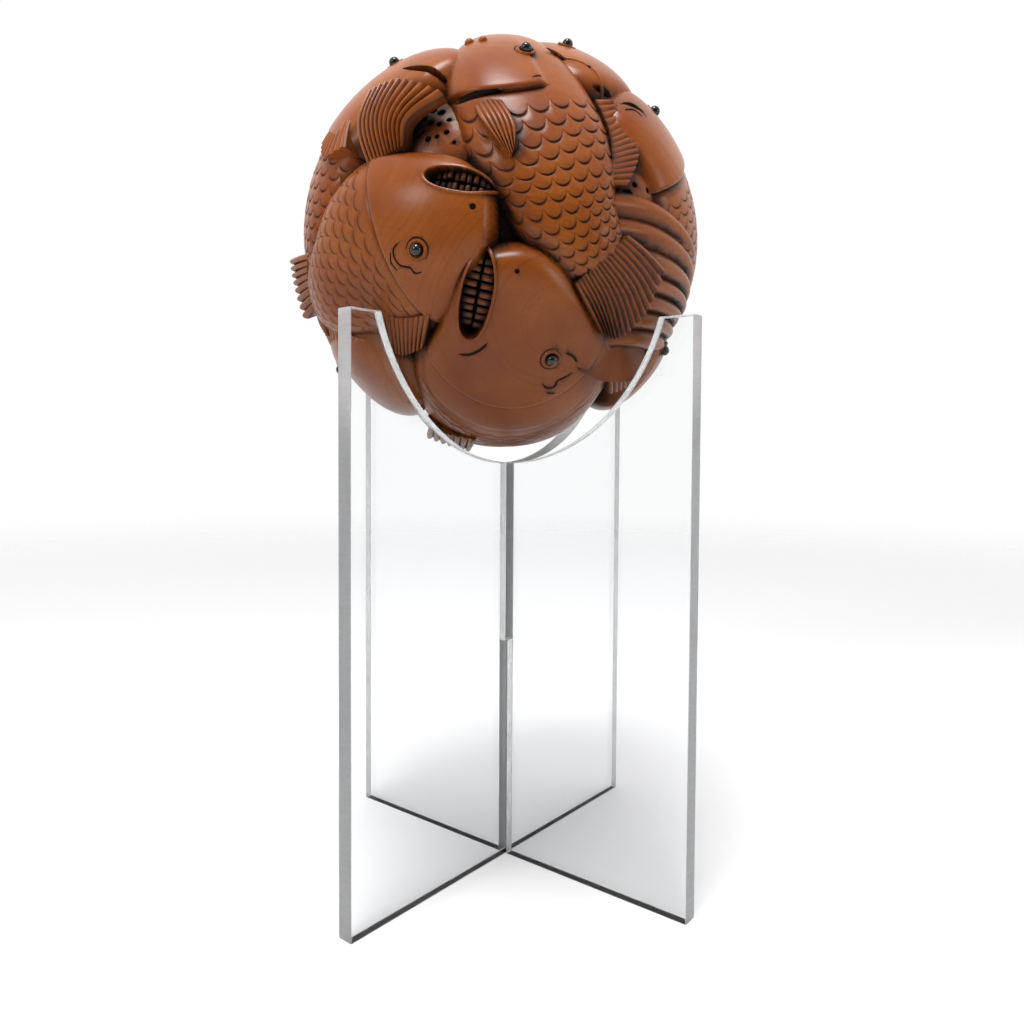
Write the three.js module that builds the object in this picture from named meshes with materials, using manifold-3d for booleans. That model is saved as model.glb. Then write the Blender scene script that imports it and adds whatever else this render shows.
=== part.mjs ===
// Carved boxwood sphere of entwined carp, resting on a crossed stand of clear acrylic sheet.
// Millimetres, +Z up. The origin is on the floor, where the two plates of the stand cross.
import * as THREE from "three";
import { mergeVertices } from "three/addons/utils/BufferGeometryUtils.js";
import Module from "manifold-3d";

const wasm = await Module();
wasm.setup();

// Stand: two equal plates, each a rectangle with an arc cut out of its top edge
const PLATE_LENGTH = 120;
const PLATE_HEIGHT = 150.7;
const SHEET = 4.5;
const RIM_LAND = 9.6;
const NOTCH_BOTTOM = 113.1;
const SLOT_END = 62;
const GAP = 0.3;

// Ball: the crests of the carving touch this sphere, and the ground between them lies deeper
const BALL_RADIUS = 55.6;
const BALL_CENTRE = new THREE.Vector3(-2.16, -0.55, 172.75);
const GROUND_DEPTH = 9;
const FLANK_DEPTH = 11;
const ROOT_DEPTH = 16;
const FLANK_POWER = 2.8;
const HEAD_RAISE = 1.1;
const BEAD_RADIUS = 1.4;
const BEAD_SEAT = 0.35;
const EYE_RING = 2.75;
const EYE_RING_WIRE = 0.45;
const RINGED_EYES = [0, 1, 2];

// Where the two left-hand rims of the stand carry the ball, its surface is worn lower: [azimuth, elevation, depth]
const SEATS = [
  [-44, -24.4, 2.9],
  [-137, -24, 2.2],
];
const SEAT_SPREAD = 15;

// Each carp is a chain of stations from snout to tail, round the ball:
// [azimuth, elevation, half-width on the left, half-width on the right, lift above the sphere]
// gill: station number of the gill edge in the middle, its slant and its curve; eye: azimuth, elevation
const CARP = [
  {
    path: [
      [-6, 70, 7.5, 7.5, -1],
      [-4, 58, 15.5, 15.5, -0.3],
      [-1, 45, 19.5, 19.5, 0],
      [3, 31, 21, 21, 0],
      [7, 18, 22.5, 21, 0],
      [11, 8, 20, 18, 0],
      [14, -1, 17.5, 14, 0],
      [18, -8, 13.5, 12.5, 0],
      [23, -14, 10.5, 10.5, -0.5],
    ],
    gill: [2.9, 0, -0.1],
    eye: [3, 44.4],
  },
  {
    path: [
      [-5, -3.5, 6.5, 6.5, -1.5],
      [-11, -3.5, 13.5, 12.5, -0.3],
      [-19, -4, 19, 20, 0],
      [-29, -6, 23.5, 25.5, 0],
      [-39, -8, 26.5, 28.5, 0],
      [-50, -11, 24.5, 24.5, 0],
      [-62, -15, 18, 18.5, 0],
      [-76, -17, 13.5, 13.5, -0.5],
      [-92, -18, 10.5, 10.5, -1.5],
    ],
    gill: [3.85, -0.5, -0.2],
    eye: [-25, -10.4],
    mouth: { from: [-23, 6.6], to: [-6.5, 3.6], half: 2.6, teeth: 8 },
  },
  {
    path: [
      [-5, -8.5, 5.5, 5.5, -1],
      [-4, -15, 13.5, 13.5, 0],
      [-2, -24.5, 19.5, 20, 0],
      [0, -34, 26.5, 26.5, 0],
      [1, -44, 30.5, 30.5, 0],
      [2, -56, 31.5, 31.5, 0],
      [4, -70, 29.5, 29.5, -0.5],
      [20, -84, 25.5, 25.5, -0.5],
      [178, -80, 20.5, 20.5, -0.5],
      [182, -66, 16.5, 16.5, -0.5],
      [183, -54, 11.5, 11.5, -1],
    ],
    gill: [4.85, 0.6, -1.05],
    outerGill: 0.7,
    eye: [10.3, -36.5],
    mouth: { from: [-8.6, -10.8], to: [-14.2, -31.5], half: 3.6, teeth: 8 },
  },
  {
    path: [
      [29, 37, 8.5, 9.5, -1.5],
      [39, 31, 15.5, 20.5, -0.8],
      [49, 24, 18.5, 24.5, -0.5],
      [58, 14, 20.5, 22.5, -0.5],
      [67, 3, 19.5, 19.5, -0.5],
      [77, -8, 14.5, 14.5, -1],
      [92, -17, 10.5, 10.5, -2],
    ],
    gill: [3.1, 0.1, 0],
    eye: [57, 36],
    mouth: { from: [33, 31.5], to: [41, 30], half: 0.8, teeth: 0 },
  },
  {
    path: [
      [35, 33, 7.5, 7.5, -1.5],
      [36, 43, 15.5, 15.5, -0.8],
      [40, 54, 17.5, 17.5, -0.4],
      [52, 66, 18.5, 18.5, -0.4],
      [90, 76, 18.5, 18.5, -0.4],
      [150, 74, 18.5, 18.5, -0.4],
      [185, 62, 17.5, 17.5, -0.4],
      [195, 48, 16.5, 16.5, -0.4],
      [200, 33, 14.5, 14.5, -0.4],
      [202, 18, 12.5, 12.5, -0.8],
      [202, 3, 8.5, 8.5, -1.5],
    ],
    gill: [3.9, 0, 0.1],
    eye: [31, 59.5],
    mouth: { from: [26.5, 38], to: [34, 36.5], half: 0.8, teeth: 0 },
  },
  {
    path: [
      [-19, 37, 7.5, 7.5, -1.5],
      [-29, 42, 15.5, 14.5, -0.8],
      [-43, 44, 19.5, 17.5, -0.4],
      [-57, 38, 20.5, 18.5, -0.4],
      [-66, 25, 18.5, 17.5, -0.4],
      [-71, 10, 16.5, 15.5, -0.6],
      [-75, -3, 12.5, 12.5, -1],
      [-81, -14, 8.5, 8.5, -2],
    ],
    gill: [3.9, 0, 0.1],
    eye: [-55, 50.5],
    mouth: { from: [-40, 41.5], to: [-21.5, 36.5], half: 1.2, teeth: 0 },
  },
  {
    path: [
      [-40, 64, 8.1, 8.1, -1.5],
      [-75, 66, 16.5, 16.5, -0.8],
      [-100, 56, 20.5, 20.5, -0.5],
      [-115, 41, 21.5, 21.5, -0.5],
      [-122, 25, 20.5, 20.5, -0.5],
      [-127, 9, 17.5, 17.5, -0.5],
      [-131, -6, 14.5, 14.5, -1],
      [-134, -20, 11.5, 11.5, -2],
    ],
    gill: [2.6, 0, 0.1],
    eye: [-84, 60],
    plain: true,
  },
  {
    path: [
      [60, -43, 7.1, 7.1, -1.5],
      [70, -41, 15.5, 15.5, -0.8],
      [88, -40, 19.5, 19.5, -0.5],
      [104, -34, 20.5, 20.5, -0.5],
      [112, -22, 18.5, 18.5, -0.5],
      [112, -8, 16.5, 16.5, -0.5],
      [108, 6, 13.5, 13.5, -1],
      [100, 18, 9.1, 9.1, -2],
    ],
    gill: [2.7, 0, 0.1],
    eye: [70, -31],
    plain: true,
  },
  {
    path: [
      [-38, -47, 8.1, 8.1, -1.5],
      [-55, -46, 15.5, 15.5, -0.8],
      [-74, -45, 18.5, 18.5, -0.5],
      [-94, -43, 19.5, 19.5, -0.5],
      [-113, -40, 18.5, 18.5, -0.5],
      [-131, -34, 15.5, 15.5, -0.5],
      [-146, -25, 13.5, 13.5, -1],
      [-157, -13, 9.1, 9.1, -2],
    ],
    gill: [3.4, 0, 0.1],
    eye: [-97, -36],
    plain: true,
  },
  {
    path: [
      [78, 50, 8.1, 8.1, -1.5],
      [92, 40, 16.5, 16.5, -0.8],
      [106, 28, 20.5, 20.5, -0.5],
      [119, 15, 21.5, 21.5, -0.5],
      [131, 1, 19.5, 19.5, -0.5],
      [140, -13, 16.5, 16.5, -0.5],
      [150, -26, 13.5, 13.5, -1],
      [162, -38, 9.1, 9.1, -2],
    ],
    gill: [2.6, 0, 0.1],
    eye: [104, 38],
    plain: true,
  },
  {
    path: [
      [118, 60, 8.1, 8.1, -1.5],
      [138, 50, 16.5, 16.5, -0.8],
      [154, 38, 19.5, 19.5, -0.5],
      [165, 25, 20.5, 20.5, -0.5],
      [172, 10, 18.5, 18.5, -0.5],
      [175, -5, 15.5, 15.5, -0.5],
      [174, -20, 12.5, 12.5, -1],
      [168, -34, 8.1, 8.1, -2],
    ],
    gill: [2.6, 0, 0.1],
    eye: [156, 47],
    plain: true,
  },
];

// Fins: rows of [azimuth, elevation] from root to tip, all across the rays in the same sense;
// rise: height of each row above the sphere; thick: thickness at each row
const FINS = [
  {
    // tail of the upper middle carp
    rows: [
      [[14, -18], [18, -14], [22, -10], [28, -5]],
      [[18, -23], [24, -21], [30, -16], [34, -8]],
      [[24, -29], [31, -30], [38, -23], [41, -11]],
    ],
    rise: [-1, 0, 0.2],
    thick: [8, 6, 2.4],
    rays: 13,
    ridge: 0.8,
  },
  {
    // breast fin of the upper middle carp
    rows: [
      [[-12, 24], [-9, 26], [-5, 26]],
      [[-10, 19], [-6, 19], [-2, 18]],
      [[-5, 12], [-3, 10.5], [-2, 13]],
    ],
    rise: [-0.4, 1.2, 1],
    thick: [6, 5, 4],
    rays: 6,
    ridge: 0.7,
  },
  {
    // back fin of the upper middle carp
    rows: [
      [[25, 33], [26, 22], [25, 14], [24, 7]],
      [[30, 33], [34, 26], [34, 17], [28, 7]],
    ],
    rise: [-2.5, -1.5],
    thick: [8, 6],
    rays: 7,
    ridge: 0.8,
  },
  {
    // breast fin of the left carp, spread like a fan
    rows: [
      [[-41, 11], [-36, 14], [-31, 16]],
      [[-46, 22], [-38, 23], [-29, 21]],
      [[-47, 32.5], [-36, 34], [-20, 26.5]],
    ],
    rise: [-2, 0.6, 1],
    thick: [6, 3, 2],
    rays: 10,
    ridge: 1.1,
  },
  {
    // back fin of the left carp
    rows: [
      [[-46, -25], [-36, -27], [-25, -26]],
      [[-46, -35], [-39, -37], [-30, -35]],
    ],
    rise: [-1.2, -1.2],
    thick: [8, 6],
    rays: 7,
    ridge: 0.8,
  },
  {
    // tail of the left carp, running down the left side
    rows: [
      [[-88, -12], [-80, -22], [-70, -28], [-58, -32]],
      [[-96, -24], [-89, -32], [-80, -38], [-66, -40]],
      [[-100, -36], [-92, -42], [-82, -47], [-70, -48]],
    ],
    rise: [-2.5, -1.5, -2.5],
    thick: [8, 8, 5],
    rays: 9,
    ridge: 1,
  },
  {
    // short fin standing out at the left side
    rows: [
      [[-72, -5], [-78, -11], [-82, -19]],
      [[-84, -4], [-88, -11], [-90, -20]],
    ],
    rise: [-1.5, 1.6],
    thick: [8, 4],
    rays: 8,
    ridge: 1.2,
  },
  {
    // breast fin of the lower carp, at the underside
    rows: [
      [[-56, -62], [-48, -68], [-28, -73]],
      [[-76, -66], [-74, -74], [-70, -81]],
    ],
    rise: [-0.5, 0.8],
    thick: [6, 3],
    rays: 6,
    ridge: 1,
  },
  {
    // breast fin of the upper left carp
    rows: [
      [[-66, 34], [-60, 33], [-54, 29]],
      [[-70, 25], [-61, 18], [-50, 18]],
    ],
    rise: [0, 0],
    thick: [6, 6],
    rays: 6,
    ridge: 0.9,
  },
  {
    // curled blade beside the lower carp's eye
    rows: [
      [[19, -36.5], [30, -34], [50, -31]],
      [[19.5, -38], [33, -38], [54, -35]],
      [[20, -39], [34, -42], [57, -39]],
    ],
    rise: [-4, -1.5, 1.4],
    thick: [8, 6, 2.2],
    rays: 1,
    ridge: 0.2,
  },
  {
    // short fin below the blade
    rows: [
      [[36, -39], [46, -39], [56, -37]],
      [[50, -49], [60, -46], [66, -41]],
    ],
    rise: [-3, -2.2],
    thick: [8, 4],
    rays: 6,
    ridge: 1,
  },
  {
    // leaf tip at the lower left
    rows: [
      [[-46, -45], [-58, -45], [-68, -46]],
      [[-52, -54], [-62, -55], [-78, -52]],
    ],
    rise: [-4, -3],
    thick: [8, 4],
    rays: 4,
    ridge: 0.8,
  },
  {
    // broad flowing tail in deep rounded flutes, on the right
    rows: [
      [[17, 6], [18, -3], [20, -12], [22, -20], [25, -28], [27, -36]],
      [[38, 6], [41, -3], [43, -12], [44, -19], [44, -26], [43, -34]],
      [[60, 0], [62, -7], [64, -14], [66, -20], [67, -26], [66, -33]],
      [[80, -10], [83, -15], [86, -20], [87, -24], [88, -28], [86, -33]],
    ],
    rise: [-4.5, -3.2, -2.6, -5],
    thick: [8, 8, 8, 6],
    rays: 7,
    ridge: 2.6,
    steps: 3,
  },
];

// Tail fans on the hidden sides: [carp number, length, half-spread in degrees]
const TAIL_FANS = [
  [3, 15, 34],
  [4, 16, 36],
  [5, 12, 30],
  [6, 15, 34],
  [7, 15, 34],
  [8, 15, 34],
  [9, 14, 34],
  [10, 14, 34],
];

// Pierced rock between the fish: centre and size of each lump, then its holes [azimuth, elevation, radius]
const ROCKS = [
  {
    at: [-24, 22],
    size: 13,
    rise: -5,
    holes: [
      [-30, 24.5, 1.1],
      [-27, 27, 1],
      [-25, 23.5, 1.1],
      [-27.5, 20, 1],
    ],
  },
  {
    at: [35, 8],
    size: 8,
    rise: -3.5,
    holes: [
      [36.5, 6.5, 1.4],
    ],
  },
];

// Directions, from degrees: azimuth 0 faces the viewer (-Y), positive to the right (+X)
function direction(azimuth, elevation) {
  const a = THREE.MathUtils.degToRad(azimuth);
  const e = THREE.MathUtils.degToRad(elevation);
  return new THREE.Vector3(
    Math.sin(a) * Math.cos(e),
    -Math.cos(a) * Math.cos(e),
    Math.sin(e),
  );
}

const seats = SEATS.map(([a, e, depth]) => ({ at: direction(a, e), depth }));

// A point of the ball in a direction, at a height above the sphere, lowered towards the seats
function onBall(dir, rise) {
  let r = BALL_RADIUS + rise;
  for (const seat of seats) {
    const angle = THREE.MathUtils.radToDeg(dir.angleTo(seat.at));
    r -= seat.depth * Math.exp(-((angle / SEAT_SPREAD) ** 2));
  }
  return dir.clone().multiplyScalar(r).add(BALL_CENTRE);
}

// Smooth interpolation of a list of number rows, by a uniform Catmull-Rom spline
function spline(rows, k) {
  const last = rows.length - 1;
  const i = Math.min(Math.max(Math.floor(k), 0), last - 1);
  const t = k - i;
  const ends = (j) =>
    j < 0
      ? rows[0].map((x, n) => 2 * x - rows[1][n])
      : j > last
        ? rows[last].map((x, n) => 2 * x - rows[last - 1][n])
        : rows[j];
  const [a, b, c, d] = [ends(i - 1), rows[i], rows[i + 1], ends(i + 2)];
  return b.map((_, n) => {
    const slope0 = (c[n] - a[n]) / 2;
    const slope1 = (d[n] - b[n]) / 2;
    const p2 = 3 * (c[n] - b[n]) - 2 * slope0 - slope1;
    const p3 = 2 * (b[n] - c[n]) + slope0 + slope1;
    return b[n] + t * (slope0 + t * (p2 + t * p3));
  });
}

for (const carp of CARP)
  carp.rows = carp.path.map(([a, e, left, right, lift]) => [
    ...direction(a, e).toArray(),
    left,
    right,
    lift,
  ]);

// The direction and height of a carp's skin at station k, across at v from -1 (left edge) to 1 (right edge)
function skin(carp, k, v, raise = 0, grow = 0) {
  const row = spline(carp.rows, k);
  const ahead = spline(carp.rows, k + 0.02);
  const behind = spline(carp.rows, k - 0.02);
  const centre = new THREE.Vector3(row[0], row[1], row[2]).normalize();
  const along = new THREE.Vector3(ahead[0], ahead[1], ahead[2])
    .normalize()
    .sub(new THREE.Vector3(behind[0], behind[1], behind[2]).normalize());
  along.addScaledVector(centre, -along.dot(centre)).normalize();
  const across = centre.clone().cross(along);
  const width = (v < 0 ? row[3] : row[4]) + grow;
  const angle = (v * width) / BALL_RADIUS;
  const dir = centre
    .multiplyScalar(Math.cos(angle))
    .addScaledVector(across, Math.sin(angle));
  const side = Math.max(0, 1 - Math.abs(v) ** FLANK_POWER) ** (1 / FLANK_POWER);
  const last = carp.rows.length - 1;
  const snout = Math.min(1, Math.max(0, k) / 0.9);
  const tail = Math.min(1, Math.max(0, last - k) / 0.5);
  const nose = Math.sqrt(1 - (1 - snout) ** 2) * Math.sqrt(1 - (1 - tail) ** 2);
  return { dir, rise: row[5] + raise - FLANK_DEPTH * (1 - side * nose) };
}

// Finds the station and the crossing of a carp's skin under a direction
function under(carp, dir) {
  let best = { k: 0, v: 0, off: 9 };
  const last = carp.rows.length - 1;
  const look = (k, v) => {
    const off = skin(carp, k, v).dir.distanceTo(dir);
    if (off < best.off) best = { k, v, off };
  };
  for (let k = 0; k <= last; k += 0.25)
    for (let v = -1; v <= 1; v += 0.2) look(k, v);
  for (let step = 0.12; step > 0.001; step /= 1.7) {
    const { k, v } = best;
    for (let i = -2; i <= 2; i++)
      for (let j = -2; j <= 2; j++)
        look(
          THREE.MathUtils.clamp(k + i * step, 0, last),
          THREE.MathUtils.clamp(v + j * step, -1, 1),
        );
  }
  return { ...best, rise: skin(carp, best.k, best.v).rise };
}

// A closed solid from shared vertices and triangles, turned to face outwards
function solid(points, triangles) {
  const made = new wasm.Manifold(
    new wasm.Mesh({
      numProp: 3,
      vertProperties: new Float32Array(points.flatMap((p) => p.toArray())),
      triVerts: new Uint32Array(triangles.flat()),
    }),
  );
  if (made.volume() >= 0) return made;
  return solid(points, triangles.map(([a, b, c]) => [a, c, b]));
}

// A closed slab between two grids of points over the same two parameters
function slab(us, vs, top, bottom) {
  const points = [];
  for (const surface of [top, bottom])
    for (const u of us) for (const v of vs) points.push(surface(u, v));
  const n = vs.length;
  const half = us.length * n;
  const triangles = [];
  for (let i = 0; i + 1 < us.length; i++)
    for (let j = 0; j + 1 < n; j++) {
      const a = i * n + j;
      const [b, c, d] = [a + n, a + n + 1, a + 1];
      triangles.push([a, b, c], [a, c, d]);
      triangles.push([half + a, half + c, half + b], [half + a, half + d, half + c]);
    }
  const rim = [];
  for (let j = 0; j + 1 < n; j++) rim.push(j);
  for (let i = 0; i + 1 < us.length; i++) rim.push(i * n + n - 1);
  for (let j = n - 1; j > 0; j--) rim.push((us.length - 1) * n + j);
  for (let i = us.length - 1; i > 0; i--) rim.push(i * n);
  rim.forEach((a, i) => {
    const b = rim[(i + 1) % rim.length];
    triangles.push([a, b, half + b], [a, half + b, half + a]);
  });
  return solid(points, triangles);
}

// A closed ring from a grid of points that comes back on itself both ways
function ring(around, section, at) {
  const points = [];
  for (let i = 0; i < around; i++)
    for (let j = 0; j < section; j++) points.push(at(i / around, j / section));
  const triangles = [];
  for (let i = 0; i < around; i++)
    for (let j = 0; j < section; j++) {
      const a = i * section + j;
      const b = ((i + 1) % around) * section + j;
      const c = ((i + 1) % around) * section + ((j + 1) % section);
      const d = i * section + ((j + 1) % section);
      triangles.push([a, b, c], [a, c, d]);
    }
  return solid(points, triangles);
}

// A three.js geometry as a solid, after merging the vertices that its normals keep apart
function fromGeometry(geometry, matrix) {
  const position = geometry.toNonIndexed().getAttribute("position");
  const points = [];
  const places = new Map();
  const corners = [];
  for (let i = 0; i < position.count; i++) {
    const p = new THREE.Vector3().fromBufferAttribute(position, i);
    const key = p.toArray().map((x) => Math.round(x * 1e4)).join();
    if (!places.has(key)) {
      places.set(key, points.length);
      points.push(p.applyMatrix4(matrix));
    }
    corners.push(places.get(key));
  }
  const triangles = [];
  for (let i = 0; i < corners.length; i += 3) {
    const [a, b, c] = corners.slice(i, i + 3);
    if (a !== b && b !== c && c !== a) triangles.push([a, b, c]);
  }
  return solid(points, triangles);
}

function steps(count, from = 0, to = 1) {
  return Array.from({ length: count + 1 }, (_, i) => from + ((to - from) * i) / count);
}

// Crossings set closer together towards the flanks, where the skin turns down
const crossings = (count) =>
  steps(count, -90, 90).map((a) => Math.sin(THREE.MathUtils.degToRad(a)));

// One carp: the head stands a little above the scales and ends in a step along the curved gill edge
function body(carp) {
  const last = carp.rows.length - 1;
  const [middle, slant, curve] = carp.gill;
  const edge = (v) => middle + slant * v + curve * v * v;
  const heads = carp.plain ? [0, 0.08, 0.4, 1] : [0, 0.06, 0.2, 0.5, 1];
  const lines = heads.map((u) => [(v) => u * edge(v), HEAD_RAISE, 0.4]);
  const folds = carp.outerGill ? [0, carp.outerGill] : [0];
  if (carp.outerGill) {
    lines.push([(v) => edge(v) + 0.04, HEAD_RAISE / 2, 0.2]);
    lines.push([(v) => edge(v) + carp.outerGill, HEAD_RAISE / 2, 0.2]);
  }
  const start = (v) => edge(v) + folds.at(-1) + 0.04;
  const count = Math.max(3, Math.round(last - start(0)));
  for (const u of steps(count)) lines.push([(v) => start(v) + u * (last - start(v)), 0, 0]);
  return slab(
    lines,
    crossings(carp.plain ? 6 : 8),
    ([station, raise, grow], v) => {
      const at = skin(carp, station(v), v, raise, grow);
      return onBall(at.dir, at.rise);
    },
    ([station], v) => onBall(skin(carp, station(v * 0.8), v * 0.8).dir, -ROOT_DEPTH),
  );
}

function fin({ rows, rise, thick, rays, ridge, steps: perRay = 2 }) {
  const curves = rows.map((row) => row.map(([a, e]) => direction(a, e).toArray()));
  const heights = rise.map((h, i) => [h, thick[i]]);
  const place = (w, u) => {
    const points = curves.map((curve) => spline(curve, u * (curve.length - 1)));
    const dir = new THREE.Vector3(...spline(points, w * (curves.length - 1))).normalize();
    const [height, depth] = spline(heights, w * (curves.length - 1));
    return { dir, height, depth };
  };
  const ray = (w, u) =>
    ridge * (0.4 + 0.6 * w) * Math.abs(Math.sin(Math.PI * rays * u)) ** 0.7;
  return slab(
    steps(curves.length - 1),
    steps(Math.max(rays * perRay, 4)),
    (w, u) => {
      const at = place(w, u);
      return onBall(at.dir, at.height + ray(w, u));
    },
    (w, u) => {
      const at = place(w, u);
      return onBall(at.dir, at.height - at.depth);
    },
  );
}

// A fan that opens from the last station of a carp
function tailFan([number, length, spread]) {
  const { rows } = CARP[number];
  const last = rows.length - 1;
  const root = new THREE.Vector3(...rows[last].slice(0, 3)).normalize();
  const before = new THREE.Vector3(...rows[last - 1].slice(0, 3)).normalize();
  const along = root.clone().sub(before);
  along.addScaledVector(root, -along.dot(root)).normalize();
  const across = root.clone().cross(along);
  const reach = (distance, degrees) => {
    const t = THREE.MathUtils.degToRad(degrees);
    const away = along.clone().multiplyScalar(Math.cos(t)).addScaledVector(across, Math.sin(t));
    const angle = distance / BALL_RADIUS;
    const d = root.clone().multiplyScalar(Math.cos(angle)).addScaledVector(away, Math.sin(angle));
    return [
      THREE.MathUtils.radToDeg(Math.atan2(d.x, -d.y)),
      THREE.MathUtils.radToDeg(Math.asin(d.z)),
    ];
  };
  const half = rows[last - 1][3] * 0.55;
  return fin({
    rows: [
      [reach(half, -100), reach(0, 0), reach(half, 100)],
      [reach(length * 1.1, -spread), reach(length * 0.85, 0), reach(length * 1.1, spread)],
    ],
    rise: [-1.8, -1.5],
    thick: [8, 6],
    rays: 3,
    ridge: 0.9,
  });
}

// Two directions span a mouth; its half-width swells to the middle like an almond
function mouthFrame(carp) {
  const from = direction(...carp.mouth.from);
  const to = direction(...carp.mouth.to);
  const middle = from.clone().add(to).normalize();
  const along = to.clone().sub(from).normalize();
  const across = middle.clone().cross(along).normalize();
  const half = (from.angleTo(to) * BALL_RADIUS) / 2;
  return (x, y) => {
    const angle = (x * half) / BALL_RADIUS;
    return middle
      .clone()
      .multiplyScalar(Math.cos(angle))
      .addScaledVector(along, Math.sin(angle))
      .addScaledVector(across, y / BALL_RADIUS)
      .normalize();
  };
}

const almond = (x) => Math.max(0.12, (1 - Math.abs(x) ** 2.2) ** 0.75);

function mouthCut(carp, depth) {
  const at = mouthFrame(carp);
  const { half } = carp.mouth;
  return slab(
    steps(6, -1, 1),
    [-1, 1],
    (x, y) => onBall(at(x, y * half * almond(x)), 3),
    (x, y) => {
      const dir = at(x, y * half * almond(x) * 0.9);
      return onBall(dir, under(carp, at(x * 0.9, 0)).rise - depth);
    },
  );
}

function lips(carp, wire) {
  const at = mouthFrame(carp);
  const { half } = carp.mouth;
  return ring(14, 3, (t, turn) => {
    const a = 2 * Math.PI * t;
    const b = 2 * Math.PI * turn;
    const x = Math.cos(a);
    const y = Math.sign(Math.sin(a)) * almond(Math.abs(x) < 1 ? x : 1) * half;
    const spread = 1 + (wire * Math.cos(b)) / (half + 2);
    const dir = at(x * spread, (Math.abs(Math.sin(a)) < 1e-6 ? 0 : y) * spread);
    return onBall(dir, under(carp, at(x * 0.97, y * 0.97)).rise + HEAD_RAISE + wire * Math.sin(b));
  });
}

function teeth(carp) {
  const at = mouthFrame(carp);
  const { half, teeth: count } = carp.mouth;
  const made = [];
  for (let i = 0; i < count; i++)
    for (const side of [-1, 1]) {
      const x = -0.82 + (1.64 * (i + 0.5)) / count;
      const pitch = 1.64 / count;
      const wide = half * almond(x);
      const rise = under(carp, at(x * 0.95, 0)).rise;
      made.push(
        slab(
          [-0.42, 0.42],
          [0.14, 0.98],
          (u, v) => onBall(at(x + u * pitch * 0.8, side * wide * (v * 0.85 + 0.06)), rise - 1.2),
          (u, v) => onBall(at(x + u * pitch, side * wide * v), rise - 6),
        ),
      );
    }
  return made;
}

// Eyes: a bead in a drilled seat, with a raised ring of wood round it
const eyes = CARP.map((carp) => {
  const dir = direction(...carp.eye);
  const { rise } = under(carp, dir);
  const up = new THREE.Quaternion().setFromUnitVectors(new THREE.Vector3(0, 1, 0), dir);
  const surface = rise + HEAD_RAISE;
  return { dir, up, surface, centre: onBall(dir, surface + BEAD_SEAT) };
});

function beadAt(eye, radius) {
  const matrix = new THREE.Matrix4().compose(
    eye.centre,
    eye.up,
    new THREE.Vector3(1, 1, 1),
  );
  return fromGeometry(new THREE.SphereGeometry(radius, 7, 4), matrix);
}

function eyeRing(eye) {
  const across = new THREE.Vector3(1, 0, 0).applyQuaternion(eye.up);
  const other = new THREE.Vector3(0, 0, 1).applyQuaternion(eye.up);
  const base = onBall(eye.dir, eye.surface);
  return ring(8, 3, (t, turn) => {
    const a = 2 * Math.PI * t;
    const b = 2 * Math.PI * turn;
    const r = EYE_RING + EYE_RING_WIRE * Math.cos(b);
    return base
      .clone()
      .addScaledVector(across, r * Math.cos(a))
      .addScaledVector(other, r * Math.sin(a))
      .addScaledVector(eye.dir, EYE_RING_WIRE * Math.sin(b) - 0.1);
  });
}

function rockLump({ at, size, rise }) {
  const dir = direction(...at);
  const up = new THREE.Quaternion().setFromUnitVectors(new THREE.Vector3(0, 1, 0), dir);
  const matrix = new THREE.Matrix4().compose(
    onBall(dir, rise - size * 0.5),
    up,
    new THREE.Vector3(size, size * 0.5, size),
  );
  return fromGeometry(new THREE.SphereGeometry(1, 8, 6), matrix);
}

function rockHole([azimuth, elevation, radius]) {
  const dir = direction(azimuth, elevation);
  const up = new THREE.Quaternion().setFromUnitVectors(new THREE.Vector3(0, 1, 0), dir);
  const matrix = new THREE.Matrix4().compose(
    onBall(dir, -8),
    up,
    new THREE.Vector3(1, 1, 1),
  );
  return fromGeometry(new THREE.CylinderGeometry(radius, radius, 9, 5), matrix);
}

function carvedBall() {
  const core = fromGeometry(
    new THREE.SphereGeometry(BALL_RADIUS - GROUND_DEPTH, 12, 8),
    new THREE.Matrix4().compose(
      BALL_CENTRE,
      new THREE.Quaternion().setFromAxisAngle(new THREE.Vector3(1, 0, 0), Math.PI / 2),
      new THREE.Vector3(1, 1, 1),
    ),
  );
  let rocks = null;
  for (const rock of ROCKS) rocks = rocks ? rocks.add(rockLump(rock)) : rockLump(rock);
  for (const rock of ROCKS) for (const hole of rock.holes) rocks = rocks.subtract(rockHole(hole));
  let ball = core.add(rocks);
  for (const carp of CARP) {
    let fish = body(carp);
    if (carp.mouth) {
      if (carp.mouth.teeth) fish = fish.add(lips(carp, 0.95));
      fish = fish.subtract(mouthCut(carp, carp.mouth.teeth ? 4 : 1.6));
      for (const tooth of teeth(carp)) fish = fish.add(tooth);
    }
    ball = ball.add(fish);
  }
  for (const shape of FINS) ball = ball.add(fin(shape));
  for (const fan of TAIL_FANS) ball = ball.add(tailFan(fan));
  eyes.forEach((eye, i) => {
    if (RINGED_EYES.includes(i)) ball = ball.add(eyeRing(eye));
    ball = ball.subtract(beadAt(eye, BEAD_RADIUS + GAP));
  });
  return ball;
}

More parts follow.
